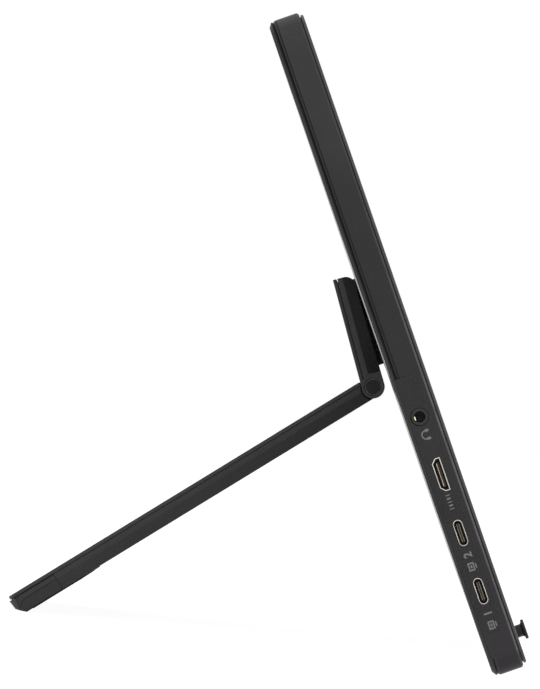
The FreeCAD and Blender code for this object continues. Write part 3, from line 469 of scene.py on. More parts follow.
def screen_finish(glass, border, roughness):
    """Unlit anti-glare screen; the printed border lies outside the picture on the UV map."""
    material, tree, shader, where = start_material()
    uv = step(tree, "ShaderNodeUVMap", uv_map="picture")
    picture = step(tree, "ShaderNodeSeparateXYZ", {"Vector": uv.outputs["UV"]}).outputs
    across, upright = (times(tree, reckon(tree, "GREATER_THAN", picture[axis], 0.0),
                             reckon(tree, "LESS_THAN", picture[axis], 1.0)) for axis in ("X", "Y"))
    inside = times(tree, across, upright)
    sparkle = noise(tree, where, 5200.0, detail=1.0)
    haze = spread(tree, noise(tree, where, 9.0, detail=2.0), 0.3, 0.7)
    tone = blend_colour(tree, haze, glass, scaled(glass, 1.25))
    matt = matt_between(tree, sparkle, roughness - 0.03, roughness + 0.05)
    wire(tree, shader, {"Base Color": blend_colour(tree, inside, border, tone), "Roughness": matt,
                        "Specular IOR Level": 0.14})
    bumped(tree, shader, sparkle, distance=0.004 * MM, strength=0.3)
    return material


def printed_ink(shade):
    """Screen-printed ink, slightly uneven."""
    material, tree, shader, where = start_material()
    uneven = noise(tree, where, 1400.0)
    base = blend_colour(tree, spread(tree, uneven, 0.35, 0.65), scaled(shade, 0.82), shade)
    wire(tree, shader, {"Base Color": base, "Roughness": matt_between(tree, uneven, 0.50, 0.66)})
    return material


FINISHES = {}


def finish(name):
    """A material of this object, made once."""
    if name in FINISHES:
        return FINISHES[name]
    scene = bpy.context.scene
    case, stand = scene.monitor_case, scene.monitor_stand
    socket, screen = scene.monitor_sockets, scene.monitor_screen
    matt, grain = case.roughness, case.grain
    plastic = moulded_plastic
    makers = {
        # Each finish's rim colour is the tone of its eased edges: rubbed wear with a painted highlight. The
        # side wall's tones by height are painted light.
        "wall_plastic": (plastic, case.wall, case.rim_wear_and_highlight, matt, grain, COARSE_GRAIN, CASE_GLOSS, WEAR_AND_HIGHLIGHT_FADE,
                         ((case.foot, *FOOT_TINT_AND_LIGHT), (case.top, *TOP_PAINTED_LIGHT))),
        "back_plastic": (plastic, case.back, case.rim_wear_and_highlight, matt, grain, COARSE_GRAIN, 0.15),
        "front_plastic": (plastic, case.front, case.rim_wear_and_highlight, 0.36, grain * 0.4, FRONT_GRAIN, 0.40),
        "stand_plastic": (plastic, stand.shell, scaled(stand.shell, 1.3), 0.48, grain),
        # The leaf shell is the stand shell plastic painted lighter, as painted light
        "leaf_plastic_lightened": (plastic, stand.leaf, scaled(stand.leaf, 1.2), 0.48, grain),
        # The caps' rim colour, twenty times their own, paints a bright highlight ring round each cap
        "cap_plastic": (plastic, stand.cap, scaled(stand.cap, 20.0), 0.40, grain * 0.5, FINE_GRAIN, 0.18),
        "knob_plastic": (plastic, (0.015, 0.015, 0.016), (0.030, 0.030, 0.031), 0.38, grain * 0.5,
                         FINE_GRAIN),
        "tongue_plastic": (plastic, socket.tongue, scaled(socket.tongue, 1.8), 0.45, grain * 0.3),
        "jack_plastic": (plastic, (0.009, 0.009, 0.0095), (0.020, 0.020, 0.020), 0.34, grain * 0.3,
                         FINE_GRAIN),
        "chip_plastic": (plastic, (0.013, 0.013, 0.014), (0.03, 0.03, 0.03), 0.5, grain * 0.4),
        "stand_metal": (blasted_metal, stand.cover, scaled(stand.cover, 1.22), scaled(stand.cover, 1.5),
                        0.42),
        "bracket_metal": (blasted_metal, (0.060, 0.060, 0.062), (0.075, 0.075, 0.077), (0.10, 0.10, 0.10),
                          0.46),
        "socket_steel": (drawn_metal, socket.steel, 0.24, (60.0, 2600.0, 2600.0)),
        "plain_steel": (drawn_metal, (0.42, 0.42, 0.43), 0.34, (300.0, 300.0, 2200.0)),
        "dark_steel": (drawn_metal, (0.085, 0.085, 0.088), 0.38, (2200.0, 300.0, 300.0)),
        "panel_metal": (drawn_metal, (0.58, 0.58, 0.59), 0.40, (30.0, 900.0, 900.0)),
        "contact_gold": (drawn_metal, socket.gold, 0.22, (90.0, 1800.0, 1800.0)),
        "rubber": (soft_rubber, stand.rubber),
        "screen": (screen_finish, screen.glass, screen.border, screen.roughness),
        "diffuser_film": (clear_film, (0.80, 0.80, 0.80), 0.5),
        "guide_plastic": (clear_film, (0.82, 0.85, 0.86), 0.08),
        "reflector_film": (clear_film, (0.90, 0.90, 0.90), 0.2),
        "lamp_lens": (clear_film, (0.85, 0.83, 0.70), 0.12),
        "flex_film": (clear_film, (0.30, 0.15, 0.04), 0.28),
        "board": (solder_board, (0.012, 0.060, 0.030), (0.030, 0.110, 0.050), (0.52, 0.50, 0.44)),
        "ink": (printed_ink, socket.ink),
    }
    maker, *values = makers[name]
    material = maker(*values)
    material.name = name
    FINISHES[name] = material
    return material


# Pieces

def to_mesh(bm, name):
    """Write a bmesh to a new mesh and free it."""
    mesh = bpy.data.meshes.new(name)
    bm.to_mesh(mesh)
    bm.free()
    return mesh


def smooth_shaded(mesh, sharp_angle):
    """Shade a mesh smooth, apart from edges sharper than an angle in degrees."""
    for face in mesh.polygons:
        face.use_smooth = True
    mesh.set_sharp_from_angle(angle=math.radians(sharp_angle))
    return mesh


def baked(data, add_modifier=None):
    """The plain mesh that a mesh or a text gives once its modifier has run; the source is removed."""
    holder = bpy.data.objects.new("holder", data)
    bpy.context.scene.collection.objects.link(holder)
    if add_modifier:
        add_modifier(holder)
    bpy.context.view_layer.update()
    graph = bpy.context.evaluated_depsgraph_get()
    mesh = bpy.data.meshes.new_from_object(holder.evaluated_get(graph))
    holder.modifiers.clear()
    bpy.data.batch_remove([holder, data])
    return mesh


def coat(mesh, material):
    """Give a mesh one finish."""
    mesh.materials.clear()
    mesh.materials.append(finish(material))


def settle(mesh, name, place, body, material, slot, *nodes):
    """Put a finished mesh into the shared frame and let it ride on its body."""
    if place:
        mesh.transform(PLACES[place])
    mesh.name = name
    coat(mesh, material)
    piece = bpy.data.objects.new(name, mesh)
    bpy.context.scene.collection.objects.link(piece)
    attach(piece, body)
    if nodes:
        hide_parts(*nodes)
    return piece


def dress(material, *nodes):
    """Give CAD nodes that keep their own shape a finish."""
    for node in nodes:
        coat(frame["nodes"][node].data, material)


def lead_normals(holder):
    """Let large faces lead the normals, so that flats stay flat beside eased edges."""
    even = holder.modifiers.new("Even", "WEIGHTED_NORMAL")
    even.keep_sharp = True
    even.weight = 90


def score_line(bm, seam, depth):
    """Score a fine line round the outside of the display's frame, at a place along its depth, and darken its
    faces as painted shade.
    """
    place = PLACES["display"]
    back = into("display")
    for across in (-0.5, 0.0, 0.5):
        cut = place @ Vector((0.0, depth + across * SCORE_WIDE, 0.0))
        bmesh.ops.bisect_plane(bm, geom=list(bm.verts) + list(bm.edges) + list(bm.faces), dist=ON_CUT,
                               plane_co=cut, plane_no=place.col[1].xyz)
    bm.normal_update()
    points = {v: back @ v.co for v in bm.verts}
    low, high = box_of(points.values())

    def outside(p):
        return p.z > SEAM_FOOT and min(p.x - low.x, high.x - p.x, high.z - p.z) < SCORE_REACH

    for face in bm.faces:
        middle = back @ face.calc_center_median()
        if abs(middle.y - depth) < SCORE_WIDE / 2 and outside(middle):
            face[seam] = 1.0
    for vert, p in points.items():
        if abs(p.y - depth) < ON_PLANE and outside(p):
            vert.co -= vert.normal * SCORE_DEEP


def widen_skirt(bm):
    """Grow the outline of the back's side skirt, so that only a fine line parts it from the frame."""
    back = into("display")
    side = min((back @ v.co).x for v in bm.verts) + SKIRT_THICK
    front = SKIRT_FRONT + SKIRT_ROUND
    for vert in bm.verts:
        p = back @ vert.co
        if p.x > side or p.y > SKIRT_BACK:
            continue
        centre_z = min(max(p.z, SKIRT_LOW + SKIRT_ROUND), SKIRT_HIGH - SKIRT_ROUND)
        away = Vector((0.0, min(p.y - front, 0.0), p.z - centre_z))
        if abs(away.length - SKIRT_ROUND) < NEAR:
            vert.co = PLACES["display"] @ (p + away.normalized() * SKIRT_GROW)


def seam_filler(place):
    """A function that brings the ridge under a stand cover out, so that its seam is only a shallow line."""
    back = into(place)
    low, high = local_box(place + "_cover", place)
    ridge = high.x - SEAM_INSET

    def fill(bm):
        for vert in bm.verts:
            p = back @ vert.co
            if abs(abs(p.x) - ridge) < NEAR and low.y - RIDGE_UNDER < p.y < low.y + RIDGE_OVER:
                p.x = math.copysign(high.x - SEAM_LEFT, p.x)
                vert.co = PLACES[place] @ p

    return fill


def eased(node, width, name, body, material, slot, angle=28.0, segments=2, smooth_way=None, seam_shade_from=None,
          tone=None, scored=None, shade_all_edges=False, reshape=None):
    """A copy of a CAD node with its sharp edges rounded over, in place of the node.

    Eased edges behind seam_shade_from, measured out of the display's back, lie in a seam and are darkened as
    painted shade; the other eased edges take rubbed wear with a painted highlight. A tone names a layer and
    marks the faces between two depths in millimetres whose lean out of the back is between two limits, for
    painted shade or for wear with a painted highlight. A fine line is scored round the outside at the depth
    scored, its faces darkened as painted shade. Where shade_all_edges is set, every eased edge is a joint
    line and is darkened as painted shade. The function reshape changes the copy before its edges are rounded.
    """
    bm = merged(node)
    bmesh.ops.dissolve_limit(bm, angle_limit=FLAT_ANGLE, verts=bm.verts, edges=bm.edges)
    if reshape:
        reshape(bm)
    limit = math.radians(angle)
    sharp = [e for e in bm.edges if len(e.link_faces) == 2 and e.calc_face_angle() > limit]
    wear_and_highlight = bm.faces.layers.float.new("edge_wear_and_highlight")
    smooth = bm.faces.layers.float.new("smooth_finish")
    seam = bm.faces.layers.float.new("edge_groove_shade")
    made = bmesh.ops.bevel(bm, geom=sharp, offset=width, offset_type="OFFSET", segments=segments,
                           profile=0.5, affect="EDGES", clamp_overlap=False)
    back = into("display")
    for face in made["faces"]:
        spot = back @ face.calc_center_median()
        in_shaded_seam = seam_shade_from is not None and spot.y > seam_shade_from and spot.z > SEAM_FOOT
        face[seam if in_shaded_seam or shade_all_edges else wear_and_highlight] = 1.0
    if scored is not None:
        score_line(bm, seam, scored)
    bmesh.ops.triangulate(bm, faces=[f for f in bm.faces if len(f.verts) > 4])
    bm.normal_update()
    turn = back.to_3x3()
    for face in bm.faces:
        if tone:
            layer, deep, shallow, lean_low, lean_high = tone
            spot, lean = back @ face.calc_center_median(), (turn @ face.normal).y
            if deep < spot.y / MM < shallow and lean_low < lean < lean_high and spot.z > SEAM_FOOT:
                face[seam if layer == "seam" else wear_and_highlight] = 1.0
        if smooth_way and face.normal.dot(smooth_way) > FACING:
            face[smooth] = 1.0
    mesh = baked(smooth_shaded(to_mesh(bm, name), EASED_SHARP), lead_normals)
    return settle(mesh, name, None, body, material, slot, node)


def join_meshes(meshes, name):
    """One mesh from several, with their materials left out."""
    bm = bmesh.new()
    for mesh in meshes:
        bm.from_mesh(mesh)
        bpy.data.meshes.remove(mesh)
    return to_mesh(bm, name)


# Geometry Nodes trees

FLOAT, INT, VECTOR, MATERIAL = "NodeSocketFloat", "NodeSocketInt", "NodeSocketVector", "NodeSocketMaterial"
LINE_SOCKETS = [("Count", INT), ("Start", VECTOR), ("Step", VECTOR)]
FASTENER_SOCKETS = [("Head radius", FLOAT), ("Head height", FLOAT), ("Shank radius", FLOAT),
                    ("Shank length", FLOAT), ("Turn", "NodeSocketRotation"), ("Finish", MATERIAL)]


def start_tree(name, sockets):
    """A Geometry Nodes tree with named inputs; returns it with its inputs and its output node."""
    tree = bpy.data.node_groups.new(name, "GeometryNodeTree")
    for label, kind in [("Geometry", "NodeSocketGeometry"), *sockets]:
        tree.interface.new_socket(name=label, in_out="INPUT", socket_type=kind)
    tree.interface.new_socket(name="Geometry", in_out="OUTPUT", socket_type="NodeSocketGeometry")
    entry = step(tree, "NodeGroupInput").outputs
    return tree, entry, step(tree, "NodeGroupOutput")


def end_tree(tree, entry, end, geometry):
    """Close a tree: make the copies real, then give them their material."""
    real = step(tree, "GeometryNodeRealizeInstances", {"Geometry": geometry}).outputs["Geometry"]
    made = step(tree, "GeometryNodeSetMaterial", {"Geometry": real, "Material": entry["Finish"]})
    wire(tree, end, {"Geometry": made.outputs["Geometry"]})
    return tree


def vector(tree, x, y, z):
    """A vector from three numbers."""
    return step(tree, "ShaderNodeCombineXYZ", {"X": x, "Y": y, "Z": z}).outputs["Vector"]


def placed(tree, geometry, **how):
    """Move, turn or stretch geometry."""
    return step(tree, "GeometryNodeTransform", {"Geometry": geometry, **how}).outputs["Geometry"]


def moved_along(tree, geometry, z):
    """Shift geometry along its own axis."""
    return placed(tree, geometry, Translation=vector(tree, 0.0, 0.0, z))


def rod(tree, corners, radius, depth):
    """A rod about its middle."""
    made = step(tree, "GeometryNodeMeshCylinder", {"Vertices": corners, "Radius": radius, "Depth": depth})
    return made.outputs["Mesh"]


def block(tree, size):
    """A block about its middle."""
    return step(tree, "GeometryNodeMeshCube", {"Size": size}).outputs["Mesh"]


def copies(tree, points, instance, **how):
    """Copies of a shape on points."""
    made = step(tree, "GeometryNodeInstanceOnPoints", {"Points": points, "Instance": instance, **how})
    return made.outputs["Instances"]


def copies_in_line(tree, entry, instance):
    """Copies of a shape at equal steps along a line."""
    line = step(tree, "GeometryNodeMeshLine", {"Count": entry["Count"], "Start Location": entry["Start"],
                                               "Offset": entry["Step"]}, mode="OFFSET")
    return copies(tree, line.outputs["Mesh"], instance)


def screw_head(tree, entry):
    """A flat head, and the two blades that cut its cross."""
    radius, rise = entry["Head radius"], entry["Head height"]
    head = moved_along(tree, rod(tree, 36, radius, rise), times(tree, rise, 0.5))
    long_side, thin_side = times(tree, radius, 1.15), times(tree, radius, 0.26)
    deep = times(tree, rise, 1.1)
    blades = [moved_along(tree, block(tree, vector(tree, x, y, deep)), rise)
              for x, y in ((long_side, thin_side), (thin_side, long_side))]
    return head, blades


def rivet_head(tree, entry):
    """A dome, and the block that cuts its lower half off."""
    radius = entry["Head radius"]
    ball = step(tree, "GeometryNodeMeshUVSphere", {"Segments": 32, "Rings": 16, "Radius": radius})
    squat = reckon(tree, "DIVIDE", entry["Head height"], radius)
    dome = placed(tree, ball.outputs["Mesh"], Scale=vector(tree, 1.0, 1.0, squat))
    wide = times(tree, radius, 3.0)
    below = block(tree, vector(tree, wide, wide, wide))
    return dome, [moved_along(tree, below, times(tree, wide, -0.5))]


def fastener_tree(name, make_head):
    """Fasteners on the points of a mesh. The head stands along the turned axis."""
    tree, entry, end = start_tree(name, FASTENER_SOCKETS)
    head, cutters = make_head(tree, entry)
    cut = step(tree, "GeometryNodeMeshBoolean", {"Mesh 1": head}, operation="DIFFERENCE", solver="EXACT")
    for cutter in cutters:
        wire(tree, cut, {"Mesh 2": cutter})
    reach = entry["Shank length"]
    shank = moved_along(tree, rod(tree, 20, entry["Shank radius"], reach), times(tree, reach, -0.5))
    whole = step(tree, "GeometryNodeJoinGeometry")
    for part in (cut.outputs["Mesh"], shank):
        wire(tree, whole, {0: part})
    spots = copies(tree, entry["Geometry"], whole.outputs[0], Rotation=entry["Turn"])
    return end_tree(tree, entry, end, spots)


def screw_tree():
    """Cross-head screws."""
    return fastener_tree("Cross screws", screw_head)


def rivet_tree():
    """Domed rivets."""
    return fastener_tree("Domed rivets", rivet_head)


def row_tree():
    """A straight row of small pads."""
    tree, entry, end = start_tree("Row of pads", [*LINE_SOCKETS, ("Size", VECTOR), ("Finish", MATERIAL)])
    return end_tree(tree, entry, end, copies_in_line(tree, entry, block(tree, entry["Size"])))


def rib_tree():
    """A straight row of round ribs, each a bar along x."""
    tree, entry, end = start_tree("Row of ribs", [*LINE_SOCKETS, ("Rib length", FLOAT), ("Rib radius", FLOAT),
                                                  ("Finish", MATERIAL)])
    rib = rod(tree, 12, entry["Rib radius"], entry["Rib length"])
    laid = placed(tree, rib, Rotation=(0.0, math.radians(90), 0.0))
    return end_tree(tree, entry, end, copies_in_line(tree, entry, laid))


def rim_tree():
    """Grip ribs round a small knob whose axis is y."""
    tree, entry, end = start_tree("Knob ribs", [("Count", INT), ("Rim radius", FLOAT), ("Size", VECTOR),
                                                ("Finish", MATERIAL)])
    ring = step(tree, "GeometryNodeMeshCircle", {"Vertices": entry["Count"], "Radius": entry["Rim radius"]})
    where = step(tree, "GeometryNodeInputPosition").outputs["Position"]
    turn = step(tree, "FunctionNodeAlignRotationToVector", {"Vector": where}, axis="X")
    spots = copies(tree, ring.outputs["Mesh"], block(tree, entry["Size"]), Rotation=turn.outputs["Rotation"])
    return end_tree(tree, entry, end, placed(tree, spots, Rotation=(math.radians(90), 0.0, 0.0)))


TREES = {}


def grown(maker, material, values, points=()):
    """Run a tree on a mesh of points and return the result as a plain mesh."""
    tree = TREES.get(maker) or TREES.setdefault(maker, maker())
    values = {**values, "Finish": finish(material)}
    seed = bpy.data.meshes.new("seed")
    seed.from_pydata([tuple(p) for p in points], [], [])

    def add_tree(holder):
        build = holder.modifiers.new("Build", "NODES")
        build.node_group = tree
        for item in tree.interface.items_tree:
            if item.in_out == "INPUT" and item.name in values:
                build[item.identifier] = values[item.name]

    return baked(seed, add_tree)


SHANK_SHARE = 0.47


def fasteners(node, body, maker, head_share, out_way):
    """Steel screws or rivets in place of a plain CAD group; sizes and spots come from the group."""
    boxes = islands(node, body)
    low, high = boxes[0]
    radius = (high.x - low.x) / 2
    whole = high.y - low.y
    rise = whole * head_share
    heads = []
    for low, high in boxes:
        seat = high.y - rise if out_way > 0 else low.y + rise
        heads.append(((low.x + high.x) / 2, seat, (low.z + high.z) / 2))
    mesh = grown(maker, "plain_steel", {
        "Head radius": radius, "Head height": rise, "Shank radius": radius * SHANK_SHARE,
        "Shank length": whole - rise, "Turn": (math.radians(-90 * out_way), 0.0, 0.0)}, heads)
    settle(smooth_shaded(mesh, HEAD_SHARP), node + "_formed", body, body, "plain_steel", "plain_steel",
           node)


# Operators

# Widths of eased edges that no setting holds, and the angle past which an edge of a round piece is eased
GLASS_EDGE, SHELL_RIM, JACK_RIM, KNOB_EDGE = 0.15 * MM, 0.06 * MM, 0.16 * MM, 0.16 * MM
TURNTABLE_EDGE, CAP_EDGE = 0.15 * MM, 0.35 * MM
ROUND_ANGLE = 40.0

# Faces of the case in a joint or on a step, darkened as painted shade, or on a rim, lightened as a painted
# highlight: the layer, two depths in millimetres and two leans
BACK_GROOVE_SHADE = ("seam", -2.3, -1.5, -0.7, -0.3)
WALL_RIM_HIGHLIGHT = ("wear_and_highlight", -10.95, -10.25, -0.8, -0.6)
PLATE_STEP_SHADOW = ("seam", -11.3, -10.85, -0.1, 0.1)


class MONITOR_OT_case(bpy.types.Operator):
    """Moulded case: back, side wall and front plate with eased edges."""
    bl_idname = "monitor.case"
    bl_label = "Case"

    def execute(self, context):
        edge = context.scene.monitor_case.edge
        # Faces in the joints and along the scored line are darkened as painted shade; the wall's front rim
        # and the other eased edges take rubbed wear with a painted highlight
        eased("rear_cover", edge, "back_shell", "display", "back_plastic", "charcoal_case",
              smooth_way=BACK_WAY, seam_shade_from=SEAM_DEPTH, tone=BACK_GROOVE_SHADE, reshape=widen_skirt)
        eased("mid_frame", edge, "side_wall", "display", "wall_plastic", "charcoal_case",
              seam_shade_from=SEAM_DEPTH, scored=SCORE_DEPTH, tone=WALL_RIM_HIGHLIGHT)
        eased("front_plate", edge, "front_frame", "display", "front_plastic", "front_trim",
              tone=PLATE_STEP_SHADOW)
        return {"FINISHED"}


class MONITOR_OT_screen(bpy.types.Operator):
    """Screen with its printed border, and the layers of the backlight."""
    bl_idname = "monitor.screen"
    bl_label = "Screen"

    def execute(self, context):
        settings = context.scene.monitor_screen
        low, high = local_box("screen_glass")
        bm = bmesh.new()
        made = bmesh.ops.create_cube(bm, size=1.0)
        for vert in made["verts"]:
            vert.co = Vector((low[i] + (vert.co[i] + 0.5) * (high[i] - low[i]) for i in range(3)))
        bmesh.ops.bevel(bm, geom=list(bm.edges), offset=GLASS_EDGE, segments=2, profile=0.5, affect="EDGES")
        layer = bm.loops.layers.uv.new("picture")
        mid_z = (low.z + high.z) / 2
        for face in bm.faces:
            for loop in face.loops:
                u = loop.vert.co.x / settings.active_width + 0.5
                v = (loop.vert.co.z - mid_z) / settings.active_height + 0.5
                loop[layer].uv = (u, v)
        bmesh.ops.recalc_face_normals(bm, faces=bm.faces)
        settle(to_mesh(bm, "screen_face"), "screen_face", "display", "display", "screen", "screen_black",
               "screen_glass")
        dress("diffuser_film", "diffuser_sheet")
        dress("guide_plastic", "light_guide")
        dress("reflector_film", "reflector_sheet")
        dress("flex_film", "led_flex", "panel_ribbon", "joystick_ribbon")
        dress("panel_metal", "panel_tray", "chip_shield")
        boxes = islands("leds")
        start = middle_of(boxes[0])
        pitch = (middle_of(boxes[-1]) - start) / (len(boxes) - 1)
        lamps = grown(row_tree, "lamp_lens", {"Count": len(boxes), "Start": start, "Step": pitch,
                                              "Size": boxes[0][1] - boxes[0][0]})
        settle(lamps, "lamp_row", "display", "display", "lamp_lens", "led_white", "leds")
        return {"FINISHED"}


# The round socket's contact: millimetres behind the mouth, and the share of the bulge there
SPRING_RUN = ((0.40, 0.0), (0.50, 0.45), (0.75, 0.78), (1.2, 0.85), (1.8, 0.70), (2.6, 0.25), (3.4, 0.0),
              (7.0, 0.0))
SPRING_HALF = 0.09 * MM


def jack_spring():
    """The round socket's formed contact: a strip along the bore that bulges into it behind the mouth."""
    low, high = local_box("jack_contact")
    mouth = local_box("headphone_jack")[0].x
    reach = bpy.context.scene.monitor_sockets.bulge
    seat, middle, half = (low.y + high.y) / 2, (low.z + high.z) / 2, (high.z - low.z) / 2
    bm = bmesh.new()
    loops = []
    for along, bulge in SPRING_RUN:
        x, y = mouth + along * MM, seat - bulge * reach
        loops.append([bm.verts.new((x, y + dy * SPRING_HALF, middle + dz * half))
                      for dy, dz in ((-1, -1), (-1, 1), (1, 1), (1, -1))])
    for first, second in zip(loops, loops[1:]):
        for n in range(4):
            bm.faces.new((first[n], first[(n + 1) % 4], second[(n + 1) % 4], second[n]))
    bm.faces.new(loops[0])
    bm.faces.new(loops[-1])
    bmesh.ops.recalc_face_normals(bm, faces=bm.faces)
    return smooth_shaded(to_mesh(bm, "jack_spring"), SPRING_SHARP)


# Contacts in the sockets: half a tongue's thickness, where a pad starts, its length, how deep it is sunk
# into the tongue, and its share of the pitch
TONGUE_HALF, PAD_START, PAD_LONG, PAD_SUNK, PAD_SHARE = 0.35 * MM, 1.9 * MM, 3.4 * MM, 0.02 * MM, 0.8


class MONITOR_OT_sockets(bpy.types.Operator):
    """Sockets on the side: shells, tongues, rows of contacts and the round jack."""
    bl_idname = "monitor.sockets"
    bl_label = "Sockets"

    def execute(self, context):
        settings = context.scene.monitor_sockets
        for node in ("oval_socket_shell_upper", "oval_socket_shell_lower", "video_socket_shell"):
            eased(node, SHELL_RIM, node + "_rim", "display", "socket_steel", "socket_steel", ROUND_ANGLE)
        dress("tongue_plastic", "oval_socket_tongue_upper", "oval_socket_tongue_lower", "video_socket_tongue")
        eased("headphone_jack", JACK_RIM, "jack_barrel", "display", "jack_plastic", "jack_black", ROUND_ANGLE)
        settle(jack_spring(), "jack_spring", "display", "display", "contact_gold", "contact_brass",
               "jack_contact")
        rows = []
        oval = (settings.pads, (-1, 1), 0.0, 5.5 * MM, 0.10 * MM)
        video = (settings.video_pads, (1,), 0.35 * MM, 7.4 * MM, 0.24 * MM)
        for kind, (number, sides, offset, span, thick) in (
                ("oval_socket_%s_upper", oval), ("oval_socket_%s_lower", oval), ("video_socket_%s", video)):
            root = local_box(kind % "tongue")[0].x
            middle = middle_of(local_box(kind % "shell"))
            pitch = span / (number - 1)
            for side in sides:
                y = middle.y - offset + side * (TONGUE_HALF + thick / 2 - PAD_SUNK)
                rows.append(grown(row_tree, "contact_gold", {
                    "Count": number, "Start": (root + PAD_START, y, middle.z - span / 2),
                    "Step": (0.0, 0.0, pitch), "Size": (PAD_LONG, thick, pitch * PAD_SHARE)}))
        settle(join_meshes(rows, "socket_contacts"), "socket_contacts", "display", "display", "contact_gold",
               "contact_brass")
        return {"FINISHED"}


# Printed marks, in millimetres: the headphone sign's arc and cups, the bars, and the screen sign's bars
ARC_RISE, ARC_RADIUS, ARC_HALF, ARC_FROM, ARC_TO, ARC_PIECES = 0.2, 1.35, 0.21, 5, 175, 24
CUP = ((-0.42, -0.95), (-0.3, -1.1), (0.3, -1.1), (0.42, -0.95), (0.42, 0.15), (0.3, 0.3), (-0.3, 0.3),
       (-0.42, 0.15))
THIN_BAR, WIDE_BAR, BAR_PITCH = (0.30, 1.5), (0.55, 1.3), 1.15
BAR_ROW = (THIN_BAR, WIDE_BAR, THIN_BAR, WIDE_BAR, THIN_BAR)
SCREEN_SIGN = ((-1.15, 0.25, 0.5, 2.1), (1.15, 0.25, 0.5, 2.1), (0.0, 1.08, 1.8, 0.44),
               (0.0, -0.58, 1.8, 0.44), (0.0, -1.3, 1.6, 0.4), (0.0, 0.25, 1.0, 0.6))
DIGIT_SIZE, DIGIT_WEIGHT = 3.7, 0.03

# How far each mark lies below the middle of its socket
HEADPHONES_BELOW, BARS_BELOW, DIGIT_BELOW, SCREEN_BELOW = 6.2 * MM, 9.4 * MM, 7.6 * MM, 11.6 * MM


def flat_shape(outline, rise):
    """A thin plate from a closed outline of (right, up) points in millimetres."""
    bm = bmesh.new()
    face = bm.faces.new([bm.verts.new((x * MM, y * MM, 0.0)) for x, y in outline])
    made = bmesh.ops.extrude_face_region(bm, geom=[face])
    lifted = [v for v in made["geom"] if isinstance(v, bmesh.types.BMVert)]
    bmesh.ops.translate(bm, vec=(0, 0, rise), verts=lifted)
    bmesh.ops.recalc_face_normals(bm, faces=bm.faces)
    return to_mesh(bm, "mark")


def arc_points(y, radius, start, end, pieces):
    """Points on an arc about a point above the origin, angles in degrees."""
    angles = [math.radians(start + (end - start) * n / pieces) for n in range(pieces + 1)]
    return [(radius * math.cos(a), y + radius * math.sin(a)) for a in angles]


def bar(x, y, wide, tall):
    """Outline of an upright bar about its middle."""
    return [(x + dx * wide / 2, y + dy * tall / 2) for dx, dy in ((-1, -1), (1, -1), (1, 1), (-1, 1))]


def digit_mesh(text, size, rise):
    """A plain number as a thin mesh, centred on the origin."""
    curve = bpy.data.curves.new("digit", "FONT")
    curve.body = text
    curve.size = size
    curve.extrude = rise / 2
    curve.offset = size * DIGIT_WEIGHT
    curve.align_x = "CENTER"
    curve.align_y = "CENTER"
    return baked(curve)


class MONITOR_OT_marks(bpy.types.Operator):
    """Printed marks below the sockets: a headphone sign, bars, plain numbers and screen signs."""
    bl_idname = "monitor.marks"
    bl_label = "Marks"

    def execute(self, context):
        rise = context.scene.monitor_sockets.mark_rise
        wall = local_box("rear_cover")[0].x
        meshes = []

        def place(mesh, y, z):
            """Set a mark on the side wall; it reads upwards, its top towards the back."""
            mesh.transform(axes_matrix(Vector((0, 0, 1)), Vector((0, 1, 0)), Vector((-1, 0, 0)),
                                       Vector((wall, y, z))))
            meshes.append(mesh)

        sign_y = middle_of(local_box("oval_socket_shell_upper")).y
        sign_z = middle_of(local_box("headphone_jack")).z - HEADPHONES_BELOW
        arc = (arc_points(ARC_RISE, ARC_RADIUS + ARC_HALF, ARC_FROM, ARC_TO, ARC_PIECES)
               + arc_points(ARC_RISE, ARC_RADIUS - ARC_HALF, ARC_TO, ARC_FROM, ARC_PIECES))
        cups = [[(side * ARC_RADIUS + x, y) for x, y in CUP] for side in (-1, 1)]
        for outline in (arc, *cups):
            place(flat_shape(outline, rise), sign_y, sign_z)
        video = middle_of(local_box("video_socket_shell"))
        for n, (wide, tall) in enumerate(BAR_ROW):
            place(flat_shape(bar((n - 2) * BAR_PITCH, 0.0, wide, tall), rise), video.y, video.z - BARS_BELOW)
        for node, number in (("oval_socket_shell_upper", "2"), ("oval_socket_shell_lower", "1")):
            middle = middle_of(local_box(node))
            place(digit_mesh(number, DIGIT_SIZE * MM, rise), middle.y, middle.z - DIGIT_BELOW)
            for sizes in SCREEN_SIGN:
                place(flat_shape(bar(*sizes), rise), middle.y, middle.z - SCREEN_BELOW)
        settle(join_meshes(meshes, "socket_marks"), "socket_marks", "display", "display", "ink",
               "charcoal_case")
        return {"FINISHED"}


# Grip of the joystick's cap
GRIP_RIBS, GRIP_SUNK, GRIP_BACK = 36, 0.02 * MM, 0.4 * MM
GRIP_RIB = (0.12 * MM, 0.22 * MM, 0.5 * MM)


class MONITOR_OT_joystick(bpy.types.Operator):
    """Joystick on the chin: a ribbed cap on its stem, with the gimbal and switch behind it."""
    bl_idname = "monitor.joystick"
    bl_label = "Joystick"

    def execute(self, context):
        eased("joystick_cap", KNOB_EDGE, "joystick_knob", "joystick_stick", "knob_plastic", "knob_black",
              ROUND_ANGLE, 3)
        low, high = local_box("joystick_cap")
        radius = (high.x - low.x) / 2
        ribs = grown(rim_tree, "knob_plastic", {"Count": GRIP_RIBS, "Rim radius": radius - GRIP_SUNK,
                                                "Size": GRIP_RIB})
        ribs.transform(Matrix.Translation(((low.x + high.x) / 2, low.y + GRIP_BACK, (low.z + high.z) / 2)))
        settle(ribs, "joystick_grip", "display", "joystick_stick", "knob_plastic", "knob_black")
        dress("knob_plastic", "joystick_stem", "joystick_yoke", "joystick_plunger")
        dress("chip_plastic", "joystick_housing")
        fasteners("joystick_screws", "display", screw_tree, head_share=0.26, out_way=1)
        return {"FINISHED"}


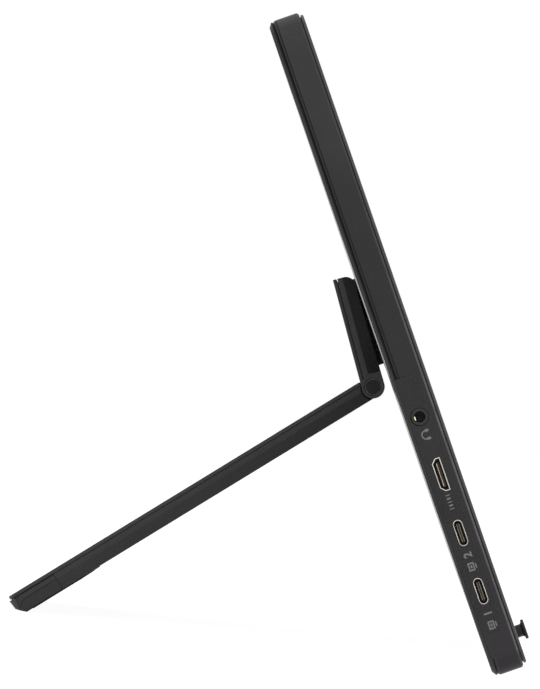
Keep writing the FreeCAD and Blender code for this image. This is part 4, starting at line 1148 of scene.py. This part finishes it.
class MONITOR_OT_boards(bpy.types.Operator):
    """Boards inside the case with their chips and screws."""
    bl_idname = "monitor.boards"
    bl_label = "Boards"

    def execute(self, context):
        dress("board", "main_board", "driver_board", "joystick_board")
        dress("chip_plastic", "scaler_chip", "board_chips")
        dress("plain_steel", "stand_plate")
        fasteners("board_screws", "display", screw_tree, head_share=0.24, out_way=-1)
        fasteners("stand_plate_screws", "display", screw_tree, head_share=0.26, out_way=-1)
        return {"FINISHED"}


class MONITOR_OT_turntable(bpy.types.Operator):
    """Turntable in the back, with the bracket that carries the leaf."""
    bl_idname = "monitor.turntable"
    bl_label = "Turntable"

    def execute(self, context):
        eased("turntable_disc", TURNTABLE_EDGE, "turntable_face", "turntable", "stand_plastic", "stand_shell",
              ROUND_ANGLE)
        eased("stand_bracket", TURNTABLE_EDGE, "bracket_formed", "turntable", "bracket_metal", "plain_steel",
              ROUND_ANGLE)
        dress("plain_steel", "turntable_hub", "hub_washer", "hub_ring")
        fasteners("bracket_rivets", "turntable", rivet_tree, head_share=0.2, out_way=1)
        return {"FINISHED"}


# Share of the edge width on the stand's moulded shells, and of a stand screw that is its head
SHELL_EDGE, STAND_HEAD = 0.7, 0.18


class MONITOR_OT_leaf(bpy.types.Operator):
    """Upper leaf of the stand: shell, metal cover, hinge pins and end caps."""
    bl_idname = "monitor.leaf"
    bl_label = "Leaf"

    def execute(self, context):
        edge = context.scene.monitor_stand.edge
        # The leaf shell takes the stand shell plastic painted lighter, as painted light
        eased("leaf_shell", edge * SHELL_EDGE, "leaf_body", "leaf", "leaf_plastic_lightened", "stand_shell",
              reshape=seam_filler("leaf"))
        eased("leaf_cover", edge, "leaf_skin", "leaf", "stand_metal", "stand_cover")
        eased("hinge_caps", CAP_EDGE, "hinge_buttons", "leaf", "cap_plastic", "hinge_dark", ROUND_ANGLE, 3)
        dress("dark_steel", "leaf_pin", "leaf_sleeve", "leg_pin")
        fasteners("leaf_screws", "leaf", screw_tree, head_share=STAND_HEAD, out_way=-1)
        return {"FINISHED"}


# Ribs of the foot pad: radius, how far they lie inside its face, and their margins
RIB_RADIUS, RIB_SUNK, RIB_START, RIB_ENDS, RIB_SIDES = 0.32 * MM, 0.12 * MM, 3 * MM, 4 * MM, 3 * MM


class MONITOR_OT_leg(bpy.types.Operator):
    """Lower leg of the stand: shell, metal cover, foot cap and ribbed pad."""
    bl_idname = "monitor.leg"
    bl_label = "Leg"

    def execute(self, context):
        edge, pitch = context.scene.monitor_stand.edge, context.scene.monitor_stand.rib_pitch
        eased("leg_shell", edge * SHELL_EDGE, "leg_body", "leg", "stand_plastic", "stand_shell",
              reshape=seam_filler("leg"))
        eased("leg_cover", edge, "leg_skin", "leg", "stand_metal", "stand_cover")
        # Every eased edge of the foot cap is darkened as painted shade of its joint
        eased("foot_cap", edge, "foot_end", "leg", "stand_plastic", "stand_shell", shade_all_edges=True,
              reshape=seam_filler("leg"))
        dress("plain_steel", "leg_stiffener")
        dress("rubber", "foot_pad")
        fasteners("leg_screws", "leg", screw_tree, head_share=STAND_HEAD, out_way=-1)
        low, high = local_box("foot_pad", "leg")
        ribs = grown(rib_tree, "rubber", {
            "Count": int((high.z - low.z - RIB_ENDS) / pitch), "Step": (0.0, 0.0, pitch),
            "Start": (0.0, low.y + RIB_SUNK, low.z + RIB_START),
            "Rib length": high.x - low.x - RIB_SIDES, "Rib radius": RIB_RADIUS})
        settle(ribs, "pad_ribs", "leg", "leg", "rubber", "rubber_black")
        return {"FINISHED"}


class MONITOR_OT_strips(bpy.types.Operator):
    """Rubber strips under the bottom edge."""
    bl_idname = "monitor.strips"
    bl_label = "Bottom strips"

    def execute(self, context):
        dress("rubber", "bottom_feet")
        return {"FINISHED"}


# Studio lamps: place, point they look at, size in metres and power in watts
OBJECT_MIDDLE = (0.0, 0.0, 0.1)
LAMPS = {
    "top_box": ((-0.2, 0.15, 1.5), OBJECT_MIDDLE, (1.6, 1.6), 7.5),
    "back_box": ((-0.7, 1.2, 0.8), OBJECT_MIDDLE, (1.0, 1.0), 4.5),
    "front_box": ((-0.9, -1.2, 0.6), OBJECT_MIDDLE, (0.9, 1.2), 3.2),
    "side_box": ((-1.7, 0.1, 0.6), OBJECT_MIDDLE, (1.2, 0.8), 4.2),
    "strip_box": ((-0.25, -1.0, 0.42), (-0.18, -0.06, 0.06), (0.8, 0.16), 2.0),
}
WHITE = (1.0, 1.0, 1.0, 1.0)
PAPER, SHADED_PAPER = (0.82, 0.82, 0.82, 1.0), (0.25, 0.25, 0.25, 1.0)
FLOOR_HALF, FLOOR_DROP = 6.0, 0.0002


def softbox(name, place, aim, size, watts):
    """A rectangular studio lamp that looks at a point."""
    lamp = bpy.data.lights.new(name, "AREA")
    lamp.shape = "RECTANGLE"
    lamp.size, lamp.size_y = size
    lamp.energy = watts
    holder = bpy.data.objects.new(name, lamp)
    holder.location = place
    holder.rotation_euler = (Vector(aim) - Vector(place)).to_track_quat("-Z", "Y").to_euler()
    bpy.context.scene.collection.objects.link(holder)


def seen_white(tree, end, other, white):
    """White where the camera, a gloss or a clear piece looks at it; the other shader elsewhere."""
    path = step(tree, "ShaderNodeLightPath").outputs
    seen = path["Is Camera Ray"]
    for ray in ("Is Glossy Ray", "Is Transmission Ray"):
        seen = reckon(tree, "MAXIMUM", seen, path[ray])
    mixed = step(tree, "ShaderNodeMixShader", {0: seen, 1: other.outputs[0], 2: white.outputs[0]})
    wire(tree, end, {"Surface": mixed.outputs[0]})


class MONITOR_OT_stage(bpy.types.Operator):
    """Floor, studio light and the camera at the photograph's angle."""
    bl_idname = "monitor.stage"
    bl_label = "Stage"

    def execute(self, context):
        scene = context.scene
        settings = scene.monitor_stage
        scene.view_settings.view_transform = "Standard"
        scene.world = bpy.data.worlds.new("studio")
        tree, end = start_nodes(scene.world, "ShaderNodeOutputWorld")
        fill = step(tree, "ShaderNodeBackground", {"Color": WHITE, "Strength": settings.sky})
        white = step(tree, "ShaderNodeBackground", {"Color": WHITE, "Strength": 1.0})
        seen_white(tree, end, fill, white)

        bm = bmesh.new()
        bmesh.ops.create_grid(bm, x_segments=8, y_segments=8, size=FLOOR_HALF)
        mesh = to_mesh(bm, "studio_floor")
        floor = bpy.data.objects.new("studio_floor", mesh)
        floor.location = (0, 0, -FLOOR_DROP)
        scene.collection.objects.link(floor)
        material = bpy.data.materials.new("studio_paper")
        mesh.materials.append(material)
        tree, end = start_nodes(material, "ShaderNodeOutputMaterial")
        paper = step(tree, "ShaderNodeBsdfDiffuse", {"Color": PAPER})
        shaded = step(tree, "ShaderNodeBsdfDiffuse", {"Color": SHADED_PAPER})
        glow = step(tree, "ShaderNodeEmission", {"Color": WHITE, "Strength": settings.paper})
        both = step(tree, "ShaderNodeAddShader", {0: shaded.outputs[0], 1: glow.outputs[0]})
        seen_white(tree, end, paper, both)

        for name, values in LAMPS.items():
            softbox(name, *values)

        lens = bpy.data.cameras.new("photo_camera")
        lens.lens = settings.lens
        lens.sensor_width = 36.0
        lens.clip_start, lens.clip_end = 0.01, 50.0
        camera = bpy.data.objects.new("photo_camera", lens)
        eye, aim = Vector(settings.eye), Vector(settings.aim)
        ahead = (aim - eye).normalized()
        right = ahead.cross(Vector((0, 0, 1))).normalized()
        up = right.cross(ahead)
        turned_right = right * math.cos(settings.roll) + up * math.sin(settings.roll)
        turned_up = up * math.cos(settings.roll) - right * math.sin(settings.roll)
        camera.matrix_world = axes_matrix(turned_right, turned_up, -ahead, eye)
        scene.collection.objects.link(camera)
        scene.camera = camera
        return {"FINISHED"}


class MONITOR_PT_panel(bpy.types.Panel):
    """Buttons that dress the monitor, piece by piece."""
    bl_idname = "MONITOR_PT_panel"
    bl_label = "Portable monitor"
    bl_space_type = "VIEW_3D"
    bl_region_type = "UI"
    bl_category = "Monitor"

    def draw(self, context):
        for operator in OPERATORS:
            self.layout.operator(operator.bl_idname)
        for group in GROUPS.values():
            settings = getattr(context.scene, group)
            box = self.layout.box()
            for name in settings.bl_rna.properties.keys():
                if name not in ("rna_type", "name"):
                    box.prop(settings, name)


GROUPS = {MonitorCaseSettings: "monitor_case", MonitorScreenSettings: "monitor_screen",
          MonitorSocketSettings: "monitor_sockets", MonitorStandSettings: "monitor_stand",
          MonitorStageSettings: "monitor_stage"}
OPERATORS = (MONITOR_OT_case, MONITOR_OT_screen, MONITOR_OT_sockets, MONITOR_OT_marks, MONITOR_OT_joystick,
             MONITOR_OT_boards, MONITOR_OT_turntable, MONITOR_OT_leaf, MONITOR_OT_leg, MONITOR_OT_strips,
             MONITOR_OT_stage)


def register():
    for group, name in GROUPS.items():
        bpy.utils.register_class(group)
        setattr(bpy.types.Scene, name, PointerProperty(type=group))
    for operator in OPERATORS:
        bpy.utils.register_class(operator)
    bpy.utils.register_class(MONITOR_PT_panel)


def unregister():
    bpy.utils.unregister_class(MONITOR_PT_panel)
    for operator in reversed(OPERATORS):
        bpy.utils.unregister_class(operator)
    for group, name in GROUPS.items():
        delattr(bpy.types.Scene, name)
        bpy.utils.unregister_class(group)


def main():
    register()
    bpy.ops.monitor.case()
    bpy.ops.monitor.screen()
    bpy.ops.monitor.sockets()
    bpy.ops.monitor.marks()
    bpy.ops.monitor.joystick()
    bpy.ops.monitor.boards()
    bpy.ops.monitor.turntable()
    bpy.ops.monitor.leaf()
    bpy.ops.monitor.leg()
    bpy.ops.monitor.strips()
    bpy.ops.monitor.stage()


if __name__ == "__main__":
    main()
